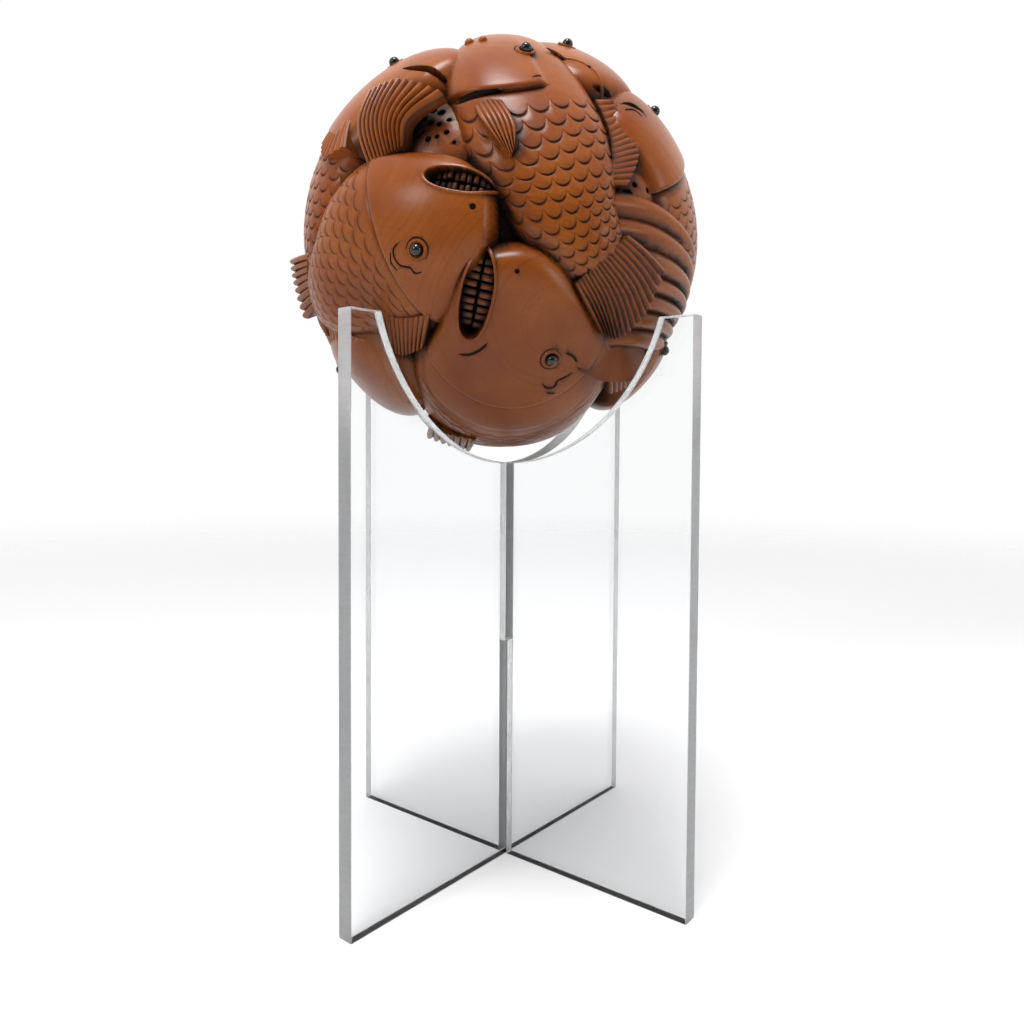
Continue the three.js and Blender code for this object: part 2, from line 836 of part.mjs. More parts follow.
// Keeps the one outer shell, so that no hollow is left sealed inside where bodies cross
function outerShell({ vertProperties, triVerts }) {
  const owner = Array.from({ length: vertProperties.length / 3 }, (_, i) => i);
  const find = (i) => {
    while (owner[i] !== i) {
      owner[i] = owner[owner[i]];
      i = owner[i];
    }
    return i;
  };
  for (let i = 0; i < triVerts.length; i += 3) {
    owner[find(triVerts[i])] = find(triVerts[i + 1]);
    owner[find(triVerts[i + 1])] = find(triVerts[i + 2]);
  }
  const shells = new Map();
  for (let i = 0; i < triVerts.length; i += 3) {
    const key = find(triVerts[i]);
    if (!shells.has(key)) shells.set(key, []);
    shells.get(key).push(triVerts[i], triVerts[i + 1], triVerts[i + 2]);
  }
  const largest = [...shells.values()].sort((a, b) => b.length - a.length)[0];
  return { vertProperties, triVerts: new Uint32Array(largest) };
}

function asGeometry({ vertProperties, triVerts }) {
  const geometry = new THREE.BufferGeometry();
  geometry.setAttribute("position", new THREE.BufferAttribute(vertProperties, 3));
  geometry.setIndex(new THREE.BufferAttribute(triVerts, 1));
  return geometry;
}

// Vertices closer than a hundredth become one, and what that pinches off is dropped
function geometryOf(made) {
  let shell = outerShell(made.getMesh());
  for (const distance of [0.01, 0.004]) {
    const merged = mergeVertices(asGeometry(shell).toNonIndexed(), distance);
    const again = new wasm.Manifold(
      new wasm.Mesh({
        numProp: 3,
        vertProperties: merged.attributes.position.array,
        triVerts: new Uint32Array(merged.index.array),
      }),
    );
    shell = outerShell(again.getMesh());
  }
  return asGeometry(shell);
}

// One plate, drawn in its own plane: u along the sheet, z up
function plateGeometry(slotFromTop) {
  const half = PLATE_LENGTH / 2;
  const notch = half - RIM_LAND;
  const depth = PLATE_HEIGHT - NOTCH_BOTTOM;
  const radius = (notch * notch + depth * depth) / (2 * depth);
  const centre = NOTCH_BOTTOM + radius;
  const slot = SHEET / 2 + GAP;
  const arcZ = (u) => centre - Math.sqrt(radius * radius - u * u);
  const shape = new THREE.Shape();
  shape.moveTo(-half, 0);
  if (!slotFromTop) {
    shape.lineTo(-slot, 0);
    shape.lineTo(-slot, SLOT_END + GAP);
    shape.lineTo(slot, SLOT_END + GAP);
    shape.lineTo(slot, 0);
  }
  shape.lineTo(half, 0);
  shape.lineTo(half, PLATE_HEIGHT);
  for (const u of steps(14, notch, slot)) shape.lineTo(u, arcZ(u));
  if (slotFromTop) {
    shape.lineTo(slot, SLOT_END);
    shape.lineTo(-slot, SLOT_END);
  }
  for (const u of steps(14, -slot, -notch)) shape.lineTo(u, arcZ(u));
  shape.lineTo(-half, PLATE_HEIGHT);
  shape.closePath();
  const geometry = new THREE.ExtrudeGeometry(shape, { depth: SHEET, bevelEnabled: false });
  geometry.translate(0, 0, -SHEET / 2);
  geometry.rotateX(Math.PI / 2);
  return geometry;
}

const boxwood = new THREE.MeshStandardMaterial({ color: 0x8a4a24, roughness: 0.42, metalness: 0 });
const bead = new THREE.MeshStandardMaterial({ color: 0x0a0908, roughness: 0.08, metalness: 0 });
const acrylic = new THREE.MeshStandardMaterial({
  color: 0xeef2f3,
  roughness: 0.05,
  metalness: 0,
  transparent: true,
  opacity: 0.25,
});

const object = new THREE.Group();

const ballMesh = new THREE.Mesh(geometryOf(carvedBall()), boxwood);
ballMesh.name = "carved_ball";
object.add(ballMesh);

eyes.forEach((eye, i) => {
  const mesh = new THREE.Mesh(new THREE.SphereGeometry(BEAD_RADIUS, 7, 4), bead);
  mesh.name = "eye_" + String(i + 1).padStart(2, "0");
  mesh.position.copy(eye.centre);
  mesh.quaternion.copy(eye.up);
  object.add(mesh);
});

const stand = new THREE.Group();
for (const [name, slotFromTop, turn] of [
  ["stand_plate_a", true, 45],
  ["stand_plate_b", false, 135],
]) {
  const mesh = new THREE.Mesh(plateGeometry(slotFromTop), acrylic);
  mesh.name = name;
  mesh.rotation.z = THREE.MathUtils.degToRad(turn);
  stand.add(mesh);
}
object.add(stand);

export default object;
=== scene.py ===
"""Carved boxwood ball of entwined carp on a crossed stand of clear acrylic sheet.

The carving is lofted fish by fish in millimetres, joined into one solid, and turned into metres.
Azimuth 0 faces the viewer (-Y) and grows to the right (+X); elevation grows upwards.
"""

import math

import bmesh
import bpy
import numpy as np
from mathutils import Matrix, Vector
from mathutils.bvhtree import BVHTree


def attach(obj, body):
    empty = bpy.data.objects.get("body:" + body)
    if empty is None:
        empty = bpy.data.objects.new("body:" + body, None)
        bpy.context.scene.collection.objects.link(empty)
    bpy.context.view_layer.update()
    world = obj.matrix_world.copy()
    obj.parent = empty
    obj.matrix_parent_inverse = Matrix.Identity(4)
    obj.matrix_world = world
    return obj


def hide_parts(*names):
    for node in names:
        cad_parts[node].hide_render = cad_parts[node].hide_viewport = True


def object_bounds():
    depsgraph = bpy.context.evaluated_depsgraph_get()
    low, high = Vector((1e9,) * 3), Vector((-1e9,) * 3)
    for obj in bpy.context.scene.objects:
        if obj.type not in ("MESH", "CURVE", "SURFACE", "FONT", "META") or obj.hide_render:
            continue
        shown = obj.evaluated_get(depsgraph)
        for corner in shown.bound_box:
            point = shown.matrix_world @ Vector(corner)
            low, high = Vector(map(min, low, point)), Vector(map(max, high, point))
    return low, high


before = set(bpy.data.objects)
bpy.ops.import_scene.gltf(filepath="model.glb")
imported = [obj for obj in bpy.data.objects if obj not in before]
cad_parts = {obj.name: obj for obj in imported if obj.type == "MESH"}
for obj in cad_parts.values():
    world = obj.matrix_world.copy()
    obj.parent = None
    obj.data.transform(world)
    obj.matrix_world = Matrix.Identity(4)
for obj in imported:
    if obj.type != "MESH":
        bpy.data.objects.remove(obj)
CAD_BOX = [list(map(float, corner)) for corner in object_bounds()]

bl_info = {
    "name": "Carved carp ball",
    "version": (1, 0, 0),
    "blender": (4, 5, 0),
    "location": "View3D > Sidebar > Carp Ball",
    "description": "Builds a boxwood ball carved as entwined carp, on a clear acrylic stand",
    "category": "Add Mesh",
}

MM = 0.001
RNG_SEED = 7

# The stand, as in the CAD
SHEET = 4.5
PLATE_LENGTH = 120.0
PLATE_HEIGHT = 150.7
RIM_LAND = 9.6
NOTCH_BOTTOM = 113.1
SLOT_END = 62.0
GAP = 0.3

# The ball, as in the CAD
BALL_RADIUS = 55.6
BALL_CENTRE = np.array([-2.16, -0.55, 172.75])
GROUND_DEPTH = 9.0
FLANK_DEPTH = 11.0
FLANK_POWER = 2.8
HEAD_RAISE = 1.1
BEAD_RADIUS = 1.4
BEAD_SEAT = 0.35
SEATS = [(-44, -24.4, 2.9), (-137, -24, 2.2)]
SEAT_SPREAD = 15.0

# Each carp: stations from snout to tail
# (azimuth, elevation, half-width on the left, half-width on the right, lift above the sphere);
# gill: station of the gill edge in the middle, its slant, and its curve on the left and right;
# gill_stop: where the edge dies out, as crossings from -1 at the left to 1 at the right;
# fine: columns to a scale, for the carp that are seen best
CARP = [
    {
        "path": [(-6, 70, 7.5, 7.5, -1), (-4, 58, 15.5, 15.5, -0.3), (-1, 45, 19.5, 19.5, 0),
                 (3, 31, 21, 21, 0), (7, 18, 20.8, 21, 0), (11, 8, 18.2, 18, 0), (14, -1, 16, 14, 0),
                 (18, -8, 12.8, 12.5, 0), (23, -14, 10.5, 10.5, -0.5)],
        "gill": (3.05, -0.15, -0.75, -0.1), "gill_stop": (0.1, 0.22), "eye": (3, 44.4), "fine": 8,
    },
    {
        "path": [(-5, -3.5, 6.5, 6.5, -1.5), (-11, -3.5, 13.5, 12.5, -0.3), (-19, -4, 19, 20, 0),
                 (-29, -6, 23.5, 25.5, 0), (-39, -8, 26.5, 28.5, 0), (-50, -11, 24.5, 24.5, 0),
                 (-62, -15, 18, 18.5, 0), (-76, -17, 13.5, 13.5, -0.5), (-92, -18, 10.5, 10.5, -1.5)],
        "gill": (3.7, -0.1, 0, -0.7), "eye": (-25, -10.4), "fine": 8,
        "mouth": {"from": (-23, 6.6), "to": (-6.3, 3.4), "half": 2.9, "teeth": 9, "ends": (0.5, 0.75)},
    },
    {
        "path": [(-5, -8.5, 5.5, 5.5, -1), (-4, -15, 13.5, 13.5, 0), (-2, -24.5, 19.5, 20, 0),
                 (0, -34, 26.5, 26.5, 0), (1, -44, 30.5, 30.5, 0), (2, -56, 31.5, 31.5, 0),
                 (4, -70, 29.5, 29.5, -0.5), (20, -84, 25.5, 25.5, -0.5),
                 (178, -80, 20.5, 20.5, -0.5), (182, -66, 16.5, 16.5, -0.5),
                 (183, -54, 11.5, 11.5, -1)],
        "gill": (4.75, -0.12, -2.05, -2.05), "outer_gill": 0.95, "eye": (10.3, -36.5), "fine": 6,
        "mouth": {"from": (-8.6, -10.8), "to": (-14.2, -31.5), "half": 3.7, "teeth": 9, "ends": (0.7, 0.42)},
    },
    {
        "path": [(29, 37, 8.5, 9.5, -1.5), (39, 31, 15.5, 20.5, -0.8), (49, 24, 18.5, 24.5, -0.5),
                 (58, 14, 20.5, 22.5, -0.5), (67, 3, 19.5, 19.5, -0.5), (77, -8, 14.5, 14.5, -1),
                 (92, -17, 10.5, 10.5, -2)],
        "gill": (2.75, -0.05, -0.4, -0.2), "eye": (57, 36), "fine": 4,
        "mouth": {"from": (33, 31.5), "to": (41, 30), "half": 0.8, "teeth": 0, "ends": (0.75, 0.75)},
    },
    {
        "path": [(35, 33, 7.5, 7.5, -1.5), (36, 43, 15.5, 15.5, -0.8), (40, 54, 17.5, 17.5, -0.4),
                 (52, 66, 18.5, 18.5, -0.4), (90, 76, 18.5, 18.5, -0.4), (150, 74, 18.5, 18.5, -0.4),
                 (185, 62, 17.5, 17.5, -0.4), (195, 48, 16.5, 16.5, -0.4),
                 (200, 33, 14.5, 14.5, -0.4), (202, 18, 12.5, 12.5, -0.8), (202, 3, 8.5, 8.5, -1.5)],
        "gill": (3.9, 0, 0.1, 0.1), "eye": (31, 59.5), "fine": 4,
        "mouth": {"from": (26.5, 38), "to": (34, 36.5), "half": 0.8, "teeth": 0, "ends": (0.75, 0.75)},
    },
    {
        "path": [(-19, 37, 7.5, 7.5, -1.5), (-29, 42, 15.5, 14.5, -0.8), (-43, 44, 19.5, 17.5, -0.4),
                 (-57, 38, 20.5, 18.5, -0.4), (-66, 25, 18.5, 17.5, -0.4),
                 (-71, 10, 16.5, 15.5, -0.6), (-75, -3, 12.5, 12.5, -1), (-81, -14, 8.5, 8.5, -2)],
        "gill": (3.9, 0, 0.1, 0.1), "eye": (-55, 50.5), "fine": 4,
        "mouth": {"from": (-40, 41.5), "to": (-21.5, 36.5), "half": 1.2, "teeth": 0, "ends": (0.75, 0.75)},
    },
    {
        "path": [(-40, 64, 8.1, 8.1, -1.5), (-75, 66, 16.5, 16.5, -0.8),
                 (-100, 56, 20.5, 20.5, -0.5), (-115, 41, 21.5, 21.5, -0.5),
                 (-122, 25, 20.5, 20.5, -0.5), (-127, 9, 17.5, 17.5, -0.5),
                 (-131, -6, 14.5, 14.5, -1), (-134, -20, 11.5, 11.5, -2)],
        "gill": (2.6, 0, 0.1, 0.1), "eye": (-84, 60), "fine": 4,
    },
    {
        "path": [(60, -43, 7.1, 7.1, -1.5), (70, -41, 15.5, 15.5, -0.8), (88, -40, 19.5, 19.5, -0.5),
                 (104, -34, 20.5, 20.5, -0.5), (112, -22, 18.5, 18.5, -0.5),
                 (112, -8, 16.5, 16.5, -0.5), (108, 6, 13.5, 13.5, -1), (100, 18, 9.1, 9.1, -2)],
        "gill": (2.7, 0, 0.1, 0.1), "eye": (70, -31), "fine": 4,
    },
    {
        "path": [(-38, -47, 8.1, 8.1, -1.5), (-55, -46, 15.5, 15.5, -0.8),
                 (-74, -45, 18.5, 18.5, -0.5), (-94, -43, 19.5, 19.5, -0.5),
                 (-113, -40, 18.5, 18.5, -0.5), (-131, -34, 15.5, 15.5, -0.5),
                 (-146, -25, 13.5, 13.5, -1), (-157, -13, 9.1, 9.1, -2)],
        "gill": (3.4, 0, 0.1, 0.1), "eye": (-97, -36), "fine": 4,
    },
    {
        "path": [(78, 50, 8.1, 8.1, -1.5), (92, 40, 16.5, 16.5, -0.8), (106, 28, 20.5, 20.5, -0.5),
                 (119, 15, 21.5, 21.5, -0.5), (131, 1, 19.5, 19.5, -0.5),
                 (140, -13, 16.5, 16.5, -0.5), (150, -26, 13.5, 13.5, -1), (162, -38, 9.1, 9.1, -2)],
        "gill": (2.6, 0, 0.1, 0.1), "eye": (104, 38), "fine": 4,
    },
    {
        "path": [(118, 60, 8.1, 8.1, -1.5), (138, 50, 16.5, 16.5, -0.8),
                 (154, 38, 19.5, 19.5, -0.5), (165, 25, 20.5, 20.5, -0.5),
                 (172, 10, 18.5, 18.5, -0.5), (175, -5, 15.5, 15.5, -0.5),
                 (174, -20, 12.5, 12.5, -1), (168, -34, 8.1, 8.1, -2)],
        "gill": (2.6, 0, 0.1, 0.1), "eye": (156, 47), "fine": 4,
    },
]

# Fins: rows of (azimuth, elevation) from root to tip, height and thickness of each row,
# number of rays, height of a ray, and its crest: under 1 round and broad, over 1 thin and sharp
FINS = {
    "tail_upper": {
        "rows": [[(14, -18), (18, -14), (22, -10), (28, -5)],
                 [(18, -23), (24, -21), (30, -16), (34, -8)],
                 [(24, -29), (31, -30), (38, -23), (41, -11)]],
        "rise": [-1, 0, 0.2], "thick": [8, 6, 2.4], "rays": 16, "ridge": 0.75, "crest": 2.2,
    },
    "breast_upper": {
        "rows": [[(-12, 24), (-9, 26), (-5, 26)], [(-10, 19), (-6, 19), (-2, 18)],
                 [(-5, 12), (-3, 10.5), (-2, 13)]],
        "rise": [-0.4, 1.2, 1], "thick": [6, 5, 4], "rays": 6, "ridge": 0.5, "crest": 0.7,
    },
    "back_upper": {
        "rows": [[(25, 33), (26, 22), (25, 14), (24, 7)], [(30, 33), (34, 26), (34, 17), (28, 7)]],
        "rise": [-2.5, -1.5], "thick": [8, 6], "rays": 15, "ridge": 0.45, "crest": 1.4,
    },
    "breast_left": {
        "rows": [[(-41, 11), (-36, 14), (-31, 16)], [(-46, 22), (-38, 23), (-29, 21)],
                 [(-47, 32.5), (-36, 34), (-20, 26.5)]],
        "rise": [-2, 0.6, 1], "thick": [6, 3, 2], "rays": 11, "ridge": 1.2, "crest": 1.2,
    },
    "back_left": {
        "rows": [[(-46, -25), (-36, -27), (-25, -26)], [(-46, -35), (-39, -37), (-30, -35)]],
        "rise": [-1.2, -1.2], "thick": [8, 6], "rays": 11, "ridge": 0.7, "crest": 1.2,
    },
    "tail_left": {
        "rows": [[(-88, -12), (-80, -22), (-70, -28), (-58, -32)],
                 [(-96, -24), (-89, -32), (-80, -38), (-66, -40)],
                 [(-100, -36), (-92, -42), (-82, -47), (-70, -48)]],
        "rise": [-2.5, -1.5, -2.5], "thick": [8, 8, 5], "rays": 14, "ridge": 0.9, "crest": 1.2,
    },
    "side_left": {
        "rows": [[(-72, -5), (-78, -11), (-82, -19)], [(-84, -4), (-88, -11), (-90, -20)]],
        "rise": [-1.5, 1.6], "thick": [8, 4], "rays": 8, "ridge": 1.2, "crest": 0.8,
    },
    "breast_lower": {
        "rows": [[(-56, -62), (-48, -68), (-28, -73)], [(-76, -66), (-74, -74), (-70, -81)]],
        "rise": [-0.5, 0.8], "thick": [6, 3], "rays": 8, "ridge": 1, "crest": 0.9,
    },
    "breast_far_left": {
        "rows": [[(-66, 34), (-60, 33), (-54, 29)], [(-70, 25), (-61, 18), (-50, 18)]],
        "rise": [0, 0], "thick": [6, 6], "rays": 8, "ridge": 0.7, "crest": 1,
    },
    "blade": {
        "rows": [[(19, -36.5), (30, -34), (50, -31)], [(19.5, -38), (33, -38), (54, -35)],
                 [(20, -39), (34, -42), (57, -39)]],
        "rise": [-4, -1.5, 1.4], "thick": [8, 6, 2.2], "rays": 1, "ridge": 0.2, "crest": 1,
    },
    "below_blade": {
        "rows": [[(36, -39), (46, -39), (56, -37)], [(50, -49), (60, -46), (66, -41)]],
        "rise": [-3, -2.2], "thick": [8, 4], "rays": 7, "ridge": 0.6, "crest": 1,
    },
    "leaf_left": {
        "rows": [[(-46, -45), (-58, -45), (-68, -46)], [(-52, -54), (-62, -55), (-78, -52)]],
        "rise": [-4, -3], "thick": [8, 4], "rays": 5, "ridge": 0.6, "crest": 1,
    },
    "flutes": {
        "rows": [[(17, 6), (18, -3), (20, -12), (22, -20), (25, -28), (27, -36)],
                 [(38, 6), (41, -3), (43, -12), (44, -19), (44, -26), (43, -34)],
                 [(60, 0), (62, -7), (64, -14), (66, -20), (67, -26), (66, -33)],
                 [(80, -10), (83, -15), (86, -20), (87, -24), (88, -28), (86, -33)]],
        "rise": [-4.5, -3.2, -2.6, -5], "thick": [8, 8, 8, 6], "rays": 7, "ridge": 2.6, "crest": 0.8,
        "columns": 12, "pitch": 1.0,
    },
}

# Tail fans on the hidden sides: (carp number, length, half-spread in degrees)
TAIL_FANS = [(3, 15, 34), (4, 16, 36), (5, 12, 30), (6, 15, 34), (7, 15, 34), (8, 15, 34),
             (9, 14, 34), (10, 14, 34)]

# Pierced rock between the fish: centre and size of each lump, then holes (azimuth, elevation, radius)
ROCKS = [
    {"at": (-24, 22), "size": 13, "rise": -4.2,
     "holes": [(-29.2, 20.5, 0.75), (-27.7, 21.6, 0.6), (-28.7, 26.1, 0.9), (-25.8, 24.3, 0.95),
               (-22.9, 23.4, 0.8), (-20.4, 20.6, 0.75), (-18, 17.6, 0.5), (-23.2, 27.6, 1.1),
               (-26, 28.6, 0.9), (-20.2, 24.6, 0.7), (-25.6, 19.0, 0.8), (-23.0, 19.4, 0.6)]},
    {"at": (35, 8), "size": 8, "rise": -3.0,
     "holes": [(30.2, 5.8, 1.5), (34.6, 4.8, 1.0), (32.7, 8.9, 0.8), (37.8, 8.4, 0.7)]},
]

# Lines cut into the skin: points, half-width, depth below the skin at the middle of the line
CUTS = [
    ([(-21, 29.8), (-17, 28.9), (-13.7, 28.6), (-9, 28.9), (-5.6, 29.6), (-0.1, 31.0), (3.6, 32.6)], 1.0, 1.9),
    ([(3.2, 32.4), (6.4, 33.6), (7.6, 34.2), (7.4, 35.2)], 0.35, 0.35),
    ([(-29.4, -8.3), (-31.3, -9.7), (-31.4, -11.8), (-30.0, -13.6), (-27.6, -14.2), (-26.3, -15.6),
      (-24.4, -15.3)], 0.3, 0.35),
    ([(-32.3, -10.2), (-32.6, -12.7), (-31.2, -14.9)], 0.22, 0.2),
    ([(-17.9, -35.8), (-14.2, -35.7), (-11.1, -34.4), (-8.6, -32.5)], 0.4, 0.25),
    ([(14.2, -34.7), (17.1, -35.7), (19.4, -37.5)], 0.3, 0.3),
    ([(9.0, -43.6), (11.4, -45.1), (13.9, -44.7), (14.6, -42.8), (17.2, -41.5), (19.2, -40.4)],
     0.35, 0.4),
    ([(11.9, -46.7), (15.2, -46.9)], 0.3, 0.2),
    ([(33.4, 31.7), (37.9, 31.4), (41.1, 28.4)], 0.45, 0.5),
    ([(32.3, 28.7), (36.5, 29.1), (38.9, 27.6)], 0.3, 0.3),
]

# Fine raised lines on the skin: points, half-width
RAISED = [
    ([(11.7, 49.1), (18, 48.6), (24.2, 46.6), (28.5, 42), (30.4, 35), (30.8, 28)], 0.55),
]

# Nostrils: azimuth, elevation, radius
NOSTRILS = [(-11.5, -1.4, 0.75), (-1.3, -15.5, 0.6), (27.4, 43.8, 0.6)]

# Knobs of the barbels at the tip of the upper snout
KNOBS = [(-18.6, 52.6, 1.3), (-12.6, 51.6, 1.2)]

SCALE_WIDTH = 5.0
SCALE_PITCH = 3.3


def unit(x):
    return x / np.linalg.norm(x, axis=-1, keepdims=True)


def direction(azimuth, elevation):
    a, e = np.radians(azimuth), np.radians(elevation)
    return np.stack([np.sin(a) * np.cos(e), -np.cos(a) * np.cos(e), np.sin(e)], -1)


def on_ball(dirs, rise):
    """Points of the ball in some directions, at heights above the sphere, lowered towards the seats."""
    r = BALL_RADIUS + np.asarray(rise, float)
    for azimuth, elevation, depth in SEATS:
        cosine = np.clip(dirs @ direction(azimuth, elevation), -1, 1)
        angle = np.degrees(np.arccos(cosine))
        r = r - depth * np.exp(-((angle / SEAT_SPREAD) ** 2))
    return dirs * r[..., None] + BALL_CENTRE


def spline(rows, k):
    """Uniform Catmull-Rom interpolation of a list of number rows."""
    rows = np.asarray(rows, float)
    k = np.asarray(k, float)
    i = np.clip(np.floor(k), 0, len(rows) - 2).astype(int)
    t = (k - i)[..., None]
    padded = np.vstack([2 * rows[0] - rows[1], rows, 2 * rows[-1] - rows[-2]])
    a, b, c, d = padded[i], padded[i + 1], padded[i + 2], padded[i + 3]
    m0, m1 = (c - a) / 2, (d - b) / 2
    return b + t * (m0 + t * (3 * (c - b) - 2 * m0 - m1 + t * (2 * (b - c) + m0 + m1)))


for carp in CARP:
    path = np.array(carp["path"], float)
    carp["rows"] = np.hstack([direction(path[:, 0], path[:, 1]), path[:, 2:]])


def skin(carp, k, v, raised=0.0, grow=0.0):
    """Direction and height of a carp's skin at station k, across at v from -1 to 1."""
    k, v = np.broadcast_arrays(np.asarray(k, float), np.asarray(v, float))
    rows = carp["rows"]
    row = spline(rows, k)
    centre = unit(row[..., :3])
    along = unit(spline(rows, k + 0.02)[..., :3]) - unit(spline(rows, k - 0.02)[..., :3])
    along = unit(along - centre * (along * centre).sum(-1, keepdims=True))
    across = np.cross(centre, along)
    width = np.where(v < 0, row[..., 3], row[..., 4]) + grow
    angle = (v * width / BALL_RADIUS)[..., None]
    dirs = centre * np.cos(angle) + across * np.sin(angle)
    side = np.maximum(0, 1 - np.abs(v) ** FLANK_POWER) ** (1 / FLANK_POWER)
    snout = np.clip(k / 0.9, 0, 1)
    tail = np.clip((len(rows) - 1 - k) / 0.5, 0, 1)
    nose = np.sqrt(1 - (1 - snout) ** 2) * np.sqrt(1 - (1 - tail) ** 2)
    return dirs, row[..., 5] + raised - FLANK_DEPTH * (1 - side * nose)


def under(carp, dirs):
    """Station and crossing of a carp's skin under each direction, and its height there."""
    dirs = np.atleast_2d(dirs)
    last = len(carp["rows"]) - 1
    ks, vs = np.meshgrid(np.arange(0, last + 0.01, 0.25), np.linspace(-1, 1, 11), indexing="ij")
    grid = skin(carp, ks.ravel(), vs.ravel())[0]
    best = np.argmax(dirs @ grid.T, axis=1)
    k, v = ks.ravel()[best], vs.ravel()[best]
    offsets = np.array([(i, j) for i in range(-2, 3) for j in range(-2, 3)], float)
    step = 0.12
    while step > 0.001:
        kk = np.clip(k[:, None] + offsets[:, 0] * step, 0, last)
        vv = np.clip(v[:, None] + offsets[:, 1] * step, -1, 1)
        near = np.einsum("nmc,nc->nm", skin(carp, kk, vv)[0], dirs)
        pick = np.argmax(near, axis=1)
        k, v = kk[np.arange(len(k)), pick], vv[np.arange(len(k)), pick]
        step /= 1.7
    dirs_found, rise = skin(carp, k, v)
    off = np.linalg.norm(dirs_found - dirs, axis=1)
    return k, v, rise, off


class Shape:
    """Points in millimetres, faces, and how deep in a cut line each point lies."""

    def __init__(self, points, faces, groove=None):
        self.points = np.asarray(points, float).reshape(-1, 3)
        self.faces = faces
        self.groove = np.zeros(len(self.points)) if groove is None else np.asarray(groove, float).ravel()
        if self.volume() < 0:
            self.faces = [face[::-1] for face in faces]

    def volume(self):
        middle = self.points.mean(0)
        total = 0.0
        quads = np.array([f if len(f) == 4 else (*f, f[2]) for f in self.faces])
        p = self.points[quads] - middle
        total += np.einsum("ij,ij->i", p[:, 0], np.cross(p[:, 1], p[:, 2])).sum()
        total += np.einsum("ij,ij->i", p[:, 0], np.cross(p[:, 2], p[:, 3])).sum()
        return total / 6

    def object(self, name):
        mesh = bpy.data.meshes.new(name)
        mesh.from_pydata((self.points * MM).tolist(), [], [list(f) for f in self.faces])
        cut = mesh.attributes.new("groove", "FLOAT", "POINT")
        cut.data.foreach_set("value", self.groove.astype(np.float32))
        return bpy.data.objects.new(name, mesh)


def grid_faces(rows, columns, start=0):
    i, j = np.meshgrid(np.arange(rows - 1), np.arange(columns - 1), indexing="ij")
    a = (start + i * columns + j).ravel()
    return [tuple(q) for q in np.stack([a, a + columns, a + columns + 1, a + 1], 1).tolist()]


def rim_of(rows, columns):
    """The border of a grid as one loop of indices."""
    return ([j for j in range(columns - 1)]
            + [i * columns + columns - 1 for i in range(rows - 1)]
            + [(rows - 1) * columns + j for j in range(columns - 1, 0, -1)]
            + [i * columns for i in range(rows - 1, 0, -1)])


def cap(top, apex, groove=None):
    """Closes a grid of points to one point deep in the ball."""
    rows, columns = top.shape[:2]
    points = np.vstack([top.reshape(-1, 3), apex])
    rim = rim_of(rows, columns)
    tip = rows * columns
    faces = grid_faces(rows, columns)
    faces += [(rim[i - 1], rim[i], tip) for i in range(len(rim))]
    cut = None if groove is None else np.append(groove.ravel(), 0)
    return Shape(points, faces, cut)


def slab(top, bottom, groove=None):
    """Closes two grids of points over the same parameters."""
    rows, columns = top.shape[:2]
    half = rows * columns
    faces = grid_faces(rows, columns)
    faces += [face[::-1] for face in grid_faces(rows, columns, half)]
    rim = rim_of(rows, columns)
    for i in range(len(rim)):
        a, b = rim[i - 1], rim[i]
        faces.append((a, b, half + b, half + a))
    cut = None if groove is None else np.append(groove.ravel(), np.zeros(half))
    shape = Shape(np.vstack([top.reshape(-1, 3), bottom.reshape(-1, 3)]), faces, cut)
    return shape


def tube(centres, normals, radii, sides=6, groove=0.0, closed=False):
    """A round bar along a line of points, pointed at both ends unless it closes on itself."""
    n = len(centres)
    ahead = np.roll(centres, -1, 0) - np.roll(centres, 1, 0)
    if not closed:
        ahead[0], ahead[-1] = centres[1] - centres[0], centres[-1] - centres[-2]
    ahead = unit(ahead)
    side = unit(np.cross(ahead, normals))
    up = np.cross(side, ahead)
    turn = np.arange(sides) * 2 * math.pi / sides
    loops = (centres[:, None] + radii[:, None, None]
             * (side[:, None] * np.cos(turn)[None, :, None] + up[:, None] * np.sin(turn)[None, :, None]))
    points = loops.reshape(-1, 3)
    faces = []
    for i in range(n if closed else n - 1):
        for j in range(sides):
            a, b = i * sides + j, i * sides + (j + 1) % sides
            c, d = ((i + 1) % n) * sides + (j + 1) % sides, ((i + 1) % n) * sides + j
            faces.append((a, b, c, d))
    if not closed:
        faces += [((j + 1) % sides, j, n * sides) for j in range(sides)]
        faces += [((n - 1) * sides + j, (n - 1) * sides + (j + 1) % sides, n * sides + 1)
                  for j in range(sides)]
        points = np.vstack([points, centres[0] - ahead[0] * radii[0], centres[-1] + ahead[-1] * radii[-1]])
    return Shape(points, faces, np.full(len(points), groove))


def ball_at(centre, radius, segments=12, groove=0.0, up=None, squash=1.0):
    """A sphere or a dome, closed at both poles."""
    up = unit(centre - BALL_CENTRE) if up is None else up
    side = unit(np.cross(up, [0.31, 0.2, 0.93]))
    other = np.cross(up, side)
    rings = max(4, segments // 2)
    points = [centre + up * radius * squash]
    for i in range(1, rings):
        polar = math.pi * i / rings
        for j in range(segments):
            a = 2 * math.pi * j / segments
            points.append(centre + radius * (up * math.cos(polar) * squash
                          + math.sin(polar) * (side * math.cos(a) + other * math.sin(a))))
    points.append(centre - up * radius * squash)
    faces = [(0, 1 + j, 1 + (j + 1) % segments) for j in range(segments)]
    for i in range(rings - 2):
        for j in range(segments):
            a, b = 1 + i * segments + j, 1 + i * segments + (j + 1) % segments
            faces.append((a, a + segments, b + segments, b))
    tail = 1 + (rings - 2) * segments
    faces += [(tail + (j + 1) % segments, tail + j, len(points) - 1) for j in range(segments)]
    return Shape(points, faces, np.full(len(points), groove))


